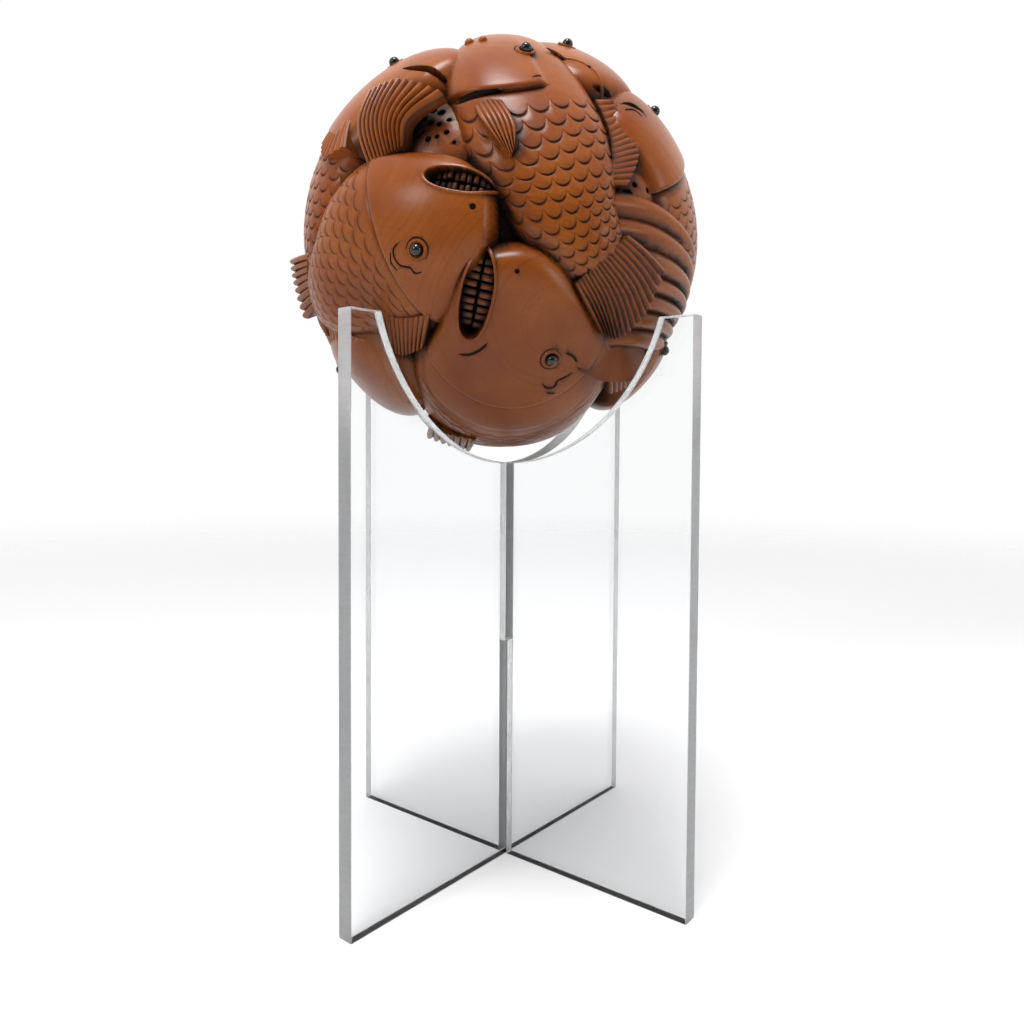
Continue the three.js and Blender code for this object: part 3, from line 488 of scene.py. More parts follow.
def flank_crossings(width, count):
    """Crossings v that are evenly spaced along the rounded cross-section of a body."""
    v = np.sin(np.linspace(-math.pi / 2, math.pi / 2, 2001))
    side = np.maximum(0, 1 - np.abs(v) ** FLANK_POWER) ** (1 / FLANK_POWER)
    length = np.concatenate([[0], np.cumsum(np.hypot(np.diff(v * width), np.diff(side * FLANK_DEPTH)))])
    across = max(5, round(length[-1] / SCALE_WIDTH))
    return np.interp(np.linspace(0, length[-1], across * count + 1), length, v), across


def smooth_step(x, low, high):
    t = np.clip((x - low) / (high - low), 0, 1)
    return t * t * (3 - 2 * t)


def gill_edge(carp, v):
    middle, slant, left, right = carp["gill"]
    return middle + slant * v + np.where(v < 0, left, right) * v * v


def carp_body(carp, detail=1.0):
    """One carp: a smooth head that ends in a raised gill edge, then rows of overlapping scales."""
    last = len(carp["rows"]) - 1
    widths = carp["rows"][2:6, 3:5].mean()
    fine = carp["fine"] if detail >= 1 else 4
    v, across = flank_crossings(widths, fine)
    edge = gill_edge(carp, v)
    fade_from, fade_to = carp.get("gill_stop", (8, 9))
    open_part = 1 - smooth_step(v, fade_from, fade_to)
    per_mm = 1 / 12.5
    lines, heights, grooves = [], [], []

    def line(stations, height, cut=0.0):
        lines.append(np.broadcast_to(stations, v.shape))
        heights.append(np.broadcast_to(height, v.shape))
        grooves.append(np.broadcast_to(cut, v.shape))

    head_rows = int((40 if fine > 6 else 26) * detail)
    for u in np.linspace(0, 1, head_rows, endpoint=False):
        level = 1 - (1 - open_part) * smooth_step(u, 0.4, 1.0)
        line(np.minimum(u ** 1.6 * edge, edge - 2.6 * per_mm * u), HEAD_RAISE * level)
    fold = [(-2.0, 1.0), (-1.1, 1.0), (-0.5, 0.94), (-0.15, 0.7), (0.0, 0.25)]
    drops = [(0.0, HEAD_RAISE, 0.0)]
    if "outer_gill" in carp:
        drops = [(0.0, HEAD_RAISE, HEAD_RAISE / 2), (carp["outer_gill"], HEAD_RAISE / 2, 0.0)]
    sink = 0.25 if "outer_gill" in carp else 0.6
    for shift, high, low in drops:
        for mm, share in fold:
            line(edge + shift + mm * per_mm, (low + (high - low) * share) * open_part)
        line(edge + shift + 0.12 * per_mm, (low - sink) * open_part, open_part * (0.3 + sink))
        line(edge + shift + 0.6 * per_mm, (low - 0.5 * sink) * open_part, 0.35 * open_part)
        line(edge + shift + 1.5 * per_mm, (low - 0.1 * sink) * open_part, 0.05 * open_part)
    start = edge + drops[-1][0] + 2.4 * per_mm
    length = np.linalg.norm(np.diff(skin(carp, np.linspace(start.mean(), last, 40), 0.0)[0], axis=0),
                            axis=1).sum() * BALL_RADIUS
    rows = max(4, round(length / SCALE_PITCH))
    column = np.linspace(0, across, len(v))
    unit_mm = 1 / SCALE_PITCH

    def arc(j):
        if j == 0:
            return np.zeros_like(column), np.zeros_like(column)
        x = 2 * ((column + 0.5 * (j % 2)) % 1.0) - 1
        bend = 0.85 * (1 - np.sqrt(1 - 0.92 * x * x))
        return j - bend, 1 - np.abs(x) ** 3

    for j in range(rows):
        above, taper = arc(j)
        below, _ = arc(j + 1)
        cells = [(above, 0.04 * taper, 0.4 * taper),
                 (above + 0.16 * unit_mm, -0.34 * taper, taper),
                 (above + 0.42 * unit_mm, -0.28 * taper, taper),
                 (above + 0.85 * unit_mm, -0.02 * taper, 0.08 * taper),
                 (above + 0.6 * (below - above) + 0.3 * unit_mm, 0.02, 0.0)]
        for r, height, cut in cells:
            line(start + np.clip(r / rows, 0, 1) * (last - start), height, cut)
    line(np.full_like(v, last), 0.0)
    stations, raised = np.array(lines), np.array(heights)
    dirs, rise = skin(carp, stations, v[None, :], raised)
    apex = BALL_CENTRE + np.random.default_rng(RNG_SEED + last).normal(0, 0.4, 3)
    return cap(on_ball(dirs, rise), apex, np.array(grooves))


def fin_shape(fin, detail=1.0):
    """A fin whose rays fan out between its root and its tip."""
    curves = [direction(*np.array(row, float).T) for row in fin["rows"]]
    columns = fin.get("columns", 8)
    rays = fin["rays"]
    u = np.linspace(0, 1, max(rays * columns, 16) + 1)
    span = np.linalg.norm(np.diff([c[len(c) // 2] for c in curves], axis=0), axis=1).sum() * BALL_RADIUS
    w = np.linspace(0, 1, max(5, int(span / (fin.get("pitch", 1.1) / detail))) + 1)
    across = np.stack([spline(c, u * (len(c) - 1)) for c in curves], 0)
    heights = np.stack([fin["rise"], fin["thick"]], 1)
    k = w * (len(curves) - 1)
    place = spline(across.reshape(len(curves), -1), k).reshape(len(w), len(u), 3)
    height = spline(heights, k)
    wave = np.abs(np.sin(math.pi * rays * u)) ** fin["crest"]
    ray = fin["ridge"] * (0.45 + 0.55 * w[:, None]) * wave[None, :]
    dirs = unit(place)
    top = on_ball(dirs, height[:, :1] + ray)
    bottom = on_ball(dirs, np.broadcast_to(height[:, :1] - height[:, 1:], ray.shape))
    groove = np.broadcast_to((1 - wave)[None, :] ** 2 * 0.8, ray.shape)
    return slab(top, bottom, groove)


def tail_fan(number, length, spread):
    """The rows of a fan that opens from the last station of a carp."""
    rows = CARP[number]["rows"]
    root, before = unit(rows[-1, :3]), unit(rows[-2, :3])
    along = root - before
    along = unit(along - root * (along @ root))
    across = np.cross(root, along)

    def reach(distance, degrees):
        t = math.radians(degrees)
        away = along * math.cos(t) + across * math.sin(t)
        angle = distance / BALL_RADIUS
        d = root * math.cos(angle) + away * math.sin(angle)
        return math.degrees(math.atan2(d[0], -d[1])), math.degrees(math.asin(d[2]))

    half = rows[-2, 3] * 0.55
    return {
        "rows": [[reach(half, -100), reach(0, 0), reach(half, 100)],
                 [reach(length * 1.1, -spread), reach(length * 0.85, 0), reach(length * 1.1, spread)]],
        "rise": [-1.8, -1.5], "thick": [8, 6], "rays": 9, "ridge": 0.7, "crest": 1.0, "columns": 6,
    }


def mouth_frame(mouth):
    start, end = direction(*mouth["from"]), direction(*mouth["to"])
    middle, along = unit(start + end), unit(end - start)
    across = unit(np.cross(middle, along))
    half = math.acos(start @ end) * BALL_RADIUS / 2

    def at(x, y):
        x, y = np.asarray(x, float)[..., None], np.asarray(y, float)[..., None]
        angle = x * half / BALL_RADIUS
        return unit(middle * np.cos(angle) + along * np.sin(angle) + across * y / BALL_RADIUS)

    return at


def almond(mouth, x):
    """Share of a mouth's half-width at x from -1 to 1; a low end power makes that end rounder."""
    first, second = mouth["ends"]
    power = first + (second - first) * smooth_step(x, -0.7, 0.7)
    return np.maximum(0.08, (1 - np.abs(x) ** 2.2) ** power)


def mouth_cut(carp, depth):
    at, half = mouth_frame(carp["mouth"]), carp["mouth"]["half"]
    ends = np.sin(np.linspace(-math.pi / 2, math.pi / 2, 29))
    x, side = np.meshgrid(ends, [-1.0, 1.0], indexing="ij")
    y = side * half * almond(carp["mouth"], x)
    top = on_ball(at(x, y), 3.0)
    floor = at(x, y * 0.9)
    rise = under(carp, at(x[:, 0] * 0.9, 0 * x[:, 0]))[2]
    bottom = on_ball(floor, np.broadcast_to((rise - depth)[:, None], x.shape))
    return slab(top, bottom, np.ones(x.shape))


def lips(carp, wire):
    at, half = mouth_frame(carp["mouth"]), carp["mouth"]["half"]
    t = np.linspace(0, 2 * math.pi, 72, endpoint=False)
    x = np.cos(t)
    y = np.sign(np.sin(t)) * almond(carp["mouth"], x) * half * (np.abs(np.sin(t)) > 1e-6)
    spread = 1 + wire * 0.5 / (half + 2)
    dirs = at(x * spread, y * spread)
    rise = under(carp, at(x * 0.97, y * 0.97))[2] + HEAD_RAISE
    centres = on_ball(dirs, rise)
    return tube(centres, unit(centres - BALL_CENTRE), np.full(len(t), wire), 8, closed=True)


def tooth_places(carp):
    """Centre, across, along and half-sizes of each tooth, in two rows."""
    at, half = mouth_frame(carp["mouth"]), carp["mouth"]["half"]
    count = carp["mouth"]["teeth"]
    pitch = 1.64 / count
    places = []
    for i in range(count):
        x = -0.82 + pitch * (i + 0.5)
        wide = half * almond(carp["mouth"], np.array(x))
        rise = under(carp, at(np.array([x * 0.95]), np.array([0.0])))[2][0]
        for side in (-1, 1):
            centre = at(x, side * wide * 0.52)
            ahead = unit(at(x + 0.02, side * wide * 0.52) - centre)
            length = (math.acos(np.clip(at(x - pitch / 2, 0.0) @ at(x + pitch / 2, 0.0), -1, 1))
                      * BALL_RADIUS)
            lean = np.random.default_rng(100 + 2 * i + side).normal(0, 0.07, 3)
            places.append((on_ball(centre, rise - 3.5 + lean[0]), unit(centre + lean), ahead,
                           (length * 0.41, wide * 0.42, 2.3 + 2 * lean[1])))
    return places


def eye_places():
    places = []
    for carp in CARP:
        dirs = direction(*carp["eye"])
        rise = under(carp, dirs)[2][0] + HEAD_RAISE
        places.append((on_ball(dirs, rise + BEAD_SEAT), dirs, rise))
    return places


def surface_height(dirs):
    """Highest skin of any carp in each direction."""
    best = np.full(len(dirs), -99.0)
    for carp in CARP:
        k, _, rise, off = under(carp, dirs)
        rise = rise + np.where(k < carp["gill"][0], HEAD_RAISE, 0)
        best = np.where((off < 0.004) & (rise > best), rise, best)
    return best


def line_shape(points, half_width, depth, cut=True):
    """A groove to be cut, or a fine ridge to be added, along a line on the skin."""
    dirs = direction(*np.array(points, float).T)
    count = max(8, int(np.linalg.norm(np.diff(dirs, axis=0), axis=1).sum() * BALL_RADIUS / 0.45))
    t = np.linspace(0, 1, count)
    dirs = unit(spline(dirs, t * (len(points) - 1)))
    high = surface_height(dirs)
    high = np.convolve(np.pad(high, 2, "edge"), np.ones(5) / 5, "valid")
    taper = np.clip(np.minimum(t, 1 - t) * 6, 0, 1) ** 0.6
    radii = np.maximum(half_width * taper, 0.06)
    rise = high + (radii - depth * taper - radii * 0.4 if cut else -0.35 * radii)
    centres = on_ball(dirs, rise)
    return tube(centres, dirs, radii, 6, groove=1.0 if cut else 0.0)


def eye_collars(place, detail):
    """A soft collar of wood round a bead, and the fine ring engraved outside it."""
    centre, dirs, rise = place
    base = on_ball(dirs, rise)
    side = unit(np.cross(dirs, [0.31, 0.2, 0.93]))
    other = np.cross(dirs, side)
    t = np.linspace(0, 2 * math.pi, 40 if detail >= 1 else 20, endpoint=False)
    circle = side * np.cos(t)[:, None] + other * np.sin(t)[:, None]

    def hoop(radius, wire, lift, groove):
        centres = base + circle * radius + dirs * lift
        return tube(centres, np.broadcast_to(dirs, centres.shape), np.full(len(t), wire), 6, groove,
                    closed=True)

    return hoop(2.05, 0.42, -0.12, 0.0), hoop(2.72, 0.24, 0.02, 1.0)


def scene_collection(name):
    collection = bpy.data.collections.new(name)
    bpy.context.scene.collection.children.link(collection)
    return collection


def evaluated_mesh(obj):
    bpy.context.view_layer.update()
    graph = bpy.context.evaluated_depsgraph_get()
    return bpy.data.meshes.new_from_object(obj.evaluated_get(graph))


def combine(base, others, operation, name):
    """Joins closed meshes to one, or cuts them out of it."""
    collection = scene_collection(name + "_operands")
    for other in others:
        collection.objects.link(other)
    if base.name not in bpy.context.scene.collection.objects:
        bpy.context.scene.collection.objects.link(base)
    modifier = base.modifiers.new("join", "BOOLEAN")
    modifier.operation = operation
    modifier.solver = "MANIFOLD"
    modifier.operand_type = "COLLECTION"
    modifier.collection = collection
    mesh = evaluated_mesh(base)
    result = bpy.data.objects.new(name, mesh)
    mesh.name = name
    for old in [base, *others]:
        data = old.data
        bpy.data.objects.remove(old)
        bpy.data.meshes.remove(data)
    bpy.data.collections.remove(collection)
    if len(mesh.polygons) == 0:
        raise RuntimeError(f"{name}: the solids did not join")
    return result


def outer_shell(mesh):
    """Deletes every shell but the largest, so that no hollow is left sealed inside."""
    edges = np.zeros(len(mesh.edges) * 2, np.int64)
    mesh.edges.foreach_get("vertices", edges)
    edges = edges.reshape(-1, 2)
    label = np.arange(len(mesh.vertices))
    while True:
        low = np.minimum(label[edges[:, 0]], label[edges[:, 1]])
        fresh = label.copy()
        np.minimum.at(fresh, edges[:, 0], low)
        np.minimum.at(fresh, edges[:, 1], low)
        fresh = fresh[fresh]
        if (fresh == label).all():
            break
        label = fresh
    names, counts = np.unique(label, return_counts=True)
    keep = names[np.argmax(counts)]
    bm = bmesh.new()
    bm.from_mesh(mesh)
    bm.verts.ensure_lookup_table()
    bmesh.ops.delete(bm, geom=[bm.verts[i] for i in np.nonzero(label != keep)[0]], context="VERTS")
    bm.to_mesh(mesh)
    bm.free()
    return len(names)


def store_hollows(mesh, rays):
    """Stores how shut in each point is, from 0 in the open to 1 in a deep hollow."""
    tree = BVHTree.FromPolygons([v.co for v in mesh.vertices], [p.vertices for p in mesh.polygons])
    rng = np.random.default_rng(RNG_SEED)
    spread = rng.normal(size=(64, 3))
    spread /= np.linalg.norm(spread, axis=1)[:, None]
    reach = 14 * MM
    values = np.zeros(len(mesh.vertices), np.float32)
    for index, vertex in enumerate(mesh.vertices):
        normal = vertex.normal
        start = vertex.co + normal * (0.15 * MM)
        total = 0.0
        first = (index * 7) % (64 - rays)
        for ray in spread[first:first + rays]:
            heading = Vector(ray) + normal * 1.02
            heading.normalize()
            hit = tree.ray_cast(start, heading, reach)
            if hit[0] is not None:
                total += 1 - hit[3] / reach
        values[index] = total / rays
    edges = np.zeros(len(mesh.edges) * 2, np.int64)
    mesh.edges.foreach_get("vertices", edges)
    a, b = edges.reshape(-1, 2).T
    degree = np.bincount(a, minlength=len(values)) + np.bincount(b, minlength=len(values))
    for _ in range(2):
        around = (np.bincount(a, values[b], len(values)) + np.bincount(b, values[a], len(values)))
        values = (0.5 * values + 0.5 * around / np.maximum(degree, 1)).astype(np.float32)
    mesh.attributes.new("hollow", "FLOAT", "POINT").data.foreach_set("value", values)


# ---------------------------------------------------------------- materials


def new_group(name, inputs, outputs):
    group = bpy.data.node_groups.new(name, "ShaderNodeTree")
    for label, kind, value in inputs:
        socket = group.interface.new_socket(label, in_out="INPUT", socket_type=kind)
        if value is not None:
            socket.default_value = value
    for label, kind in outputs:
        group.interface.new_socket(label, in_out="OUTPUT", socket_type=kind)
    return group, group.nodes.new("NodeGroupInput"), group.nodes.new("NodeGroupOutput")


def add(tree, kind, settings=None, **links):
    """Adds a node, sets its properties and joins or sets its inputs by name."""
    node = tree.nodes.new(kind)
    for key, value in (settings or {}).items():
        setattr(node, key, value)
    for key, value in links.items():
        name = key.replace("__", " ").strip("_")
        socket = node.inputs[int(name[1:])] if name[0] == "i" and name[1:].isdigit() else node.inputs[name]
        if isinstance(value, bpy.types.NodeSocket):
            tree.links.new(value, socket)
        else:
            socket.default_value = value
    return node


def ramp(tree, factor, stops):
    node = tree.nodes.new("ShaderNodeValToRGB")
    elements = node.color_ramp.elements
    while len(elements) < len(stops):
        elements.new(0.5)
    for element, (position, colour) in zip(elements, stops):
        element.position = position
        element.color = colour if len(colour) == 4 else (*colour, 1)
    tree.links.new(factor, node.inputs[0])
    return node.outputs[0]


def mix(tree, factor, a, b, blend="MIX"):
    node = tree.nodes.new("ShaderNodeMix")
    node.data_type = "RGBA"
    node.blend_type = blend
    for socket, value in ((node.inputs[0], factor), (node.inputs[6], a), (node.inputs[7], b)):
        if isinstance(value, bpy.types.NodeSocket):
            tree.links.new(value, socket)
        else:
            socket.default_value = value
    return node.outputs[2]


def math_node(tree, operation, a, b=None, clamp=False):
    node = tree.nodes.new("ShaderNodeMath")
    node.operation = operation
    node.use_clamp = clamp
    for socket, value in zip(node.inputs, (a, b)):
        if isinstance(value, bpy.types.NodeSocket):
            tree.links.new(value, socket)
        elif value is not None:
            socket.default_value = value
    return node.outputs[0]


def growth_rings_group():
    """Rings of the log, its long fibres and broad clouds of tone, on Object coordinates."""
    group, source, sink = new_group(
        "Boxwood Growth Rings",
        [("Vector", "NodeSocketVector", None), ("Ring Spacing", "NodeSocketFloat", 1.1),
         ("Waver", "NodeSocketFloat", 1.0)],
        [("Rings", "NodeSocketFloat"), ("Fibre", "NodeSocketFloat"), ("Clouds", "NodeSocketFloat")],
    )
    warp = add(group, "ShaderNodeTexNoise", Vector=source.outputs["Vector"], Scale=22.0, Detail=2.0)
    centred = add(group, "ShaderNodeVectorMath", {"operation": "SUBTRACT"}, i0=warp.outputs["Color"],
                  i1=(0.5, 0.5, 0.5))
    small = add(group, "ShaderNodeVectorMath", {"operation": "SCALE"}, i0=centred.outputs[0])
    group.links.new(math_node(group, "MULTIPLY", source.outputs["Waver"], 0.012), small.inputs["Scale"])
    moved = add(group, "ShaderNodeVectorMath", {"operation": "ADD"}, i0=source.outputs["Vector"],
                i1=small.outputs[0])
    parts = add(group, "ShaderNodeSeparateXYZ", i0=moved.outputs[0])
    flat = add(group, "ShaderNodeCombineXYZ", i0=parts.outputs[0], i1=parts.outputs[1])
    radius = add(group, "ShaderNodeVectorMath", {"operation": "LENGTH"}, i0=flat.outputs[0])
    spacing = math_node(group, "MULTIPLY", source.outputs["Ring Spacing"], MM)
    turns = math_node(group, "DIVIDE", radius.outputs["Value"], spacing)
    rings = add(group, "ShaderNodeTexNoise", {"noise_dimensions": "1D"}, W=turns, Scale=1.0, Detail=3.0,
                Roughness=0.65)
    group.links.new(rings.outputs[0], sink.inputs["Rings"])
    stretched = add(group, "ShaderNodeMapping", i0=source.outputs["Vector"], Scale=(1500, 1500, 90))
    fibre = add(group, "ShaderNodeTexNoise", Vector=stretched.outputs[0], Scale=1.0, Detail=3.0)
    group.links.new(fibre.outputs[0], sink.inputs["Fibre"])
    clouds = add(group, "ShaderNodeTexNoise", Vector=source.outputs["Vector"], Scale=38.0, Detail=3.0)
    group.links.new(clouds.outputs[0], sink.inputs["Clouds"])
    return group


def painted_shade_group():
    """Painted shade in the cuts and hollows, darkest where a point is most shut in or lies deepest in a cut
    line.
    """
    group, source, sink = new_group(
        "Painted Hollow Shade",
        [("Hollow", "NodeSocketFloat", 0.0), ("Groove", "NodeSocketFloat", 0.0),
         ("Darkness", "NodeSocketFloat", 1.0)],
        [("Painted Shade", "NodeSocketFloat")],
    )
    deep = add(group, "ShaderNodeMapRange", i0=source.outputs["Hollow"], i1=0.22, i2=0.6)
    cut = math_node(group, "MULTIPLY", math_node(group, "POWER", source.outputs["Groove"], 1.5), 0.92)
    both = math_node(group, "MAXIMUM", deep.outputs[0], cut)
    shade_amount = math_node(group, "MULTIPLY", both, source.outputs["Darkness"], clamp=True)
    group.links.new(shade_amount, sink.inputs["Painted Shade"])
    return group


def boxwood_material(settings):
    material = bpy.data.materials.new("boxwood_polished")
    material.use_nodes = True
    tree = material.node_tree
    shader = tree.nodes["Principled BSDF"]
    place = add(tree, "ShaderNodeTexCoord")
    heart = direction(9, -27)
    turn = Vector(heart).to_track_quat("Z", "Y").to_matrix().transposed().to_euler()
    centre = BALL_CENTRE * MM
    moved = Matrix(turn.to_matrix()) @ Vector(-centre)
    mapping = add(tree, "ShaderNodeMapping", i0=place.outputs["Object"])
    mapping.inputs["Rotation"].default_value = turn
    mapping.inputs["Location"].default_value = moved
    rings = add(tree, "ShaderNodeGroup", {"node_tree": growth_rings_group()})
    tree.links.new(mapping.outputs[0], rings.inputs["Vector"])
    rings.inputs["Ring Spacing"].default_value = settings.ring_spacing / MM
    hollow = add(tree, "ShaderNodeAttribute", {"attribute_name": "hollow"})
    groove = add(tree, "ShaderNodeAttribute", {"attribute_name": "groove"})
    painted_shade = add(tree, "ShaderNodeGroup", {"node_tree": painted_shade_group()})
    tree.links.new(hollow.outputs["Fac"], painted_shade.inputs["Hollow"])
    tree.links.new(groove.outputs["Fac"], painted_shade.inputs["Groove"])
    painted_shade.inputs["Darkness"].default_value = settings.painted_shade

    warm = (*settings.wood_colour, 1)
    deep = (settings.wood_colour[0] * 0.6, settings.wood_colour[1] * 0.45, settings.wood_colour[2] * 0.35, 1)
    clouds = add(tree, "ShaderNodeMapRange", i0=rings.outputs["Clouds"], i1=0.35, i2=0.7)
    base = mix(tree, clouds.outputs[0], warm, deep)
    ring_mask = add(tree, "ShaderNodeMapRange", i0=rings.outputs["Rings"], i1=0.5, i2=0.72, i3=0.0, i4=0.45)
    base = mix(tree, ring_mask.outputs[0], base, deep)
    fibre_mask = add(tree, "ShaderNodeMapRange", i0=rings.outputs["Fibre"], i1=0.5, i2=0.75, i3=0.0, i4=0.4)
    base = mix(tree, fibre_mask.outputs[0], base, deep)
    # Painted shade: the wood darkens with how shut in each point is, from the ray-cast hollow attribute.
    hollow_shade = ramp(tree, hollow.outputs["Fac"], [(0.0, (1.0, 1.0, 1.0)), (0.08, (0.86, 0.84, 0.82)),
                                              (0.25, (0.5, 0.46, 0.42)), (0.5, (0.2, 0.17, 0.15))])
    base = mix(tree, 1.0, base, hollow_shade, "MULTIPLY")
    # Painted light and shade: the wood is darkened towards the bottom of the ball and lightened towards its
    # top.
    parts = add(tree, "ShaderNodeSeparateXYZ", i0=place.outputs["Object"])
    low = add(tree, "ShaderNodeMapRange", {"interpolation_type": "SMOOTHSTEP"}, i0=parts.outputs[2],
              i1=0.115, i2=0.215, i3=0.62, i4=1.12)
    base = mix(tree, 1.0, base, low.outputs[0], "MULTIPLY")
    # Painted shade: the cuts and hollows are darkened to near black.
    base = mix(tree, painted_shade.outputs["Painted Shade"], base, (0.007, 0.0028, 0.0016, 1))
    tree.links.new(base, shader.inputs["Base Color"])

    rough = add(tree, "ShaderNodeMapRange", i0=painted_shade.outputs["Painted Shade"], i3=0.22, i4=0.7)
    uneven = math_node(tree, "MULTIPLY_ADD", rings.outputs["Clouds"], 0.12)
    tree.links.new(rough.outputs[0], tree.nodes[-1].inputs[2])
    tree.links.new(uneven, shader.inputs["Roughness"])
    shader.inputs["Specular IOR Level"].default_value = 0.22

    grain = math_node(tree, "MULTIPLY_ADD", rings.outputs["Fibre"], 0.5)
    tree.links.new(rings.outputs["Rings"], tree.nodes[-1].inputs[2])
    knife = add(tree, "ShaderNodeTexNoise", Vector=place.outputs["Object"], Scale=420.0, Detail=2.0)
    relief = math_node(tree, "ADD", math_node(tree, "MULTIPLY", grain, 0.35), knife.outputs[0])
    bump = add(tree, "ShaderNodeBump", Strength=0.22, Distance=0.00012, Height=relief)
    tree.links.new(bump.outputs[0], shader.inputs["Normal"])
    return material


def bead_material():
    material = bpy.data.materials.new("bead_black_gloss")
    material.use_nodes = True
    tree = material.node_tree
    shader = tree.nodes["Principled BSDF"]
    place = add(tree, "ShaderNodeTexCoord")
    smears = add(tree, "ShaderNodeTexNoise", Vector=place.outputs["Object"], Scale=900.0, Detail=2.0)
    colour = ramp(tree, smears.outputs[0], [(0.3, (0.004, 0.004, 0.004)), (0.8, (0.014, 0.012, 0.011))])
    tree.links.new(colour, shader.inputs["Base Color"])
    rough = add(tree, "ShaderNodeMapRange", i0=smears.outputs[0], i3=0.03, i4=0.07)
    tree.links.new(rough.outputs[0], shader.inputs["Roughness"])
    shader.inputs["Specular IOR Level"].default_value = 0.5
    return material


def acrylic_material(name, tint, sawn):
    """Clear sheet: polished on its faces, and on its sawn edges cloudy with fine blade marks."""
    material = bpy.data.materials.new(name)
    material.use_nodes = True
    tree = material.node_tree
    shader = tree.nodes["Principled BSDF"]
    place = add(tree, "ShaderNodeTexCoord")
    shader.inputs["IOR"].default_value = 1.49
    if sawn:
        marks = add(tree, "ShaderNodeMapping", i0=place.outputs["Object"], Scale=(300, 300, 1500))
        saw = add(tree, "ShaderNodeTexNoise", Vector=marks.outputs[0], Scale=1.0, Detail=4.0)
        broad = add(tree, "ShaderNodeTexNoise", Vector=place.outputs["Object"], Scale=45.0, Detail=2.0)
        both = math_node(tree, "ADD", math_node(tree, "MULTIPLY", saw.outputs[0], 0.6),
                         math_node(tree, "MULTIPLY", broad.outputs[0], 0.4))
        colour = ramp(tree, both, [(0.3, (0.78, 0.79, 0.8)), (0.7, (0.97, 0.975, 0.98))])
        tree.links.new(colour, shader.inputs["Base Color"])
        rough = add(tree, "ShaderNodeMapRange", i0=both, i1=0.3, i2=0.7, i3=0.6, i4=0.35)
        tree.links.new(rough.outputs[0], shader.inputs["Roughness"])
        shader.inputs["Transmission Weight"].default_value = 0.75
        bump = add(tree, "ShaderNodeBump", Strength=0.35, Distance=0.0002, Height=saw.outputs[0])
        tree.links.new(bump.outputs[0], shader.inputs["Normal"])
    else:
        dust = add(tree, "ShaderNodeTexNoise", Vector=place.outputs["Object"], Scale=14.0, Detail=3.0)
        rough = add(tree, "ShaderNodeMapRange", i0=dust.outputs[0], i1=0.45, i2=0.8, i3=0.0, i4=0.05)
        tree.links.new(rough.outputs[0], shader.inputs["Roughness"])
        clear = ramp(tree, dust.outputs[0], [(0.3, tint), (0.9, tuple(c * 0.99 for c in tint))])
        tree.links.new(clear, shader.inputs["Base Color"])
        shader.inputs["Transmission Weight"].default_value = 1.0
    return material


# ---------------------------------------------------------------- geometry nodes


def geometry_group(name, inputs):
    group = bpy.data.node_groups.new(name, "GeometryNodeTree")
    group.interface.new_socket("Geometry", in_out="INPUT", socket_type="NodeSocketGeometry")
    for label, kind, value in inputs:
        socket = group.interface.new_socket(label, in_out="INPUT", socket_type=kind)
        if value is not None:
            socket.default_value = value
    group.interface.new_socket("Geometry", in_out="OUTPUT", socket_type="NodeSocketGeometry")
    return group, group.nodes.new("NodeGroupInput"), group.nodes.new("NodeGroupOutput")


def apply_group(obj, group, values):
    """Runs a node group on an object and gives it the plain mesh that comes out."""
    modifier = obj.modifiers.new("build", "NODES")
    modifier.node_group = group
    for item in group.interface.items_tree:
        if item.item_type == "SOCKET" and item.in_out == "INPUT" and item.name in values:
            modifier[item.identifier] = values[item.name]
    mesh = evaluated_mesh(obj)
    obj.modifiers.clear()
    old = obj.data
    obj.data = mesh
    bpy.data.meshes.remove(old)
    return obj


def tooth_row_group():
    """A rounded tooth on every point, turned by the point's own across and up directions."""
    group, source, sink = geometry_group(
        "Tooth Rows", [("Roundness", "NodeSocketInt", 2), ("Material", "NodeSocketMaterial", None)])
    block = add(group, "GeometryNodeMeshCube", Size=(2, 2, 2))
    soft = add(group, "GeometryNodeSubdivisionSurface", Mesh=block.outputs["Mesh"])
    soft.inputs["Edge Crease"].default_value = 0.45
    group.links.new(source.outputs["Roundness"], soft.inputs["Level"])
    along = add(group, "GeometryNodeInputNamedAttribute", {"data_type": "FLOAT_VECTOR"}, Name="along")
    up = add(group, "GeometryNodeInputNamedAttribute", {"data_type": "FLOAT_VECTOR"}, Name="up")
    size = add(group, "GeometryNodeInputNamedAttribute", {"data_type": "FLOAT_VECTOR"}, Name="size")
    turn = add(group, "FunctionNodeAxesToRotation", {"primary_axis": "Z", "secondary_axis": "X"})
    group.links.new(up.outputs[0], turn.inputs[0])
    group.links.new(along.outputs[0], turn.inputs[1])
    place = add(group, "GeometryNodeInstanceOnPoints")
    group.links.new(source.outputs["Geometry"], place.inputs["Points"])
    group.links.new(soft.outputs[0], place.inputs["Instance"])
    group.links.new(turn.outputs[0], place.inputs["Rotation"])
    group.links.new(size.outputs[0], place.inputs["Scale"])
    real = add(group, "GeometryNodeRealizeInstances", Geometry=place.outputs[0])
    finish = add(group, "GeometryNodeSetMaterial", Geometry=real.outputs[0])
    group.links.new(source.outputs["Material"], finish.inputs["Material"])
    group.links.new(finish.outputs[0], sink.inputs["Geometry"])
    return group


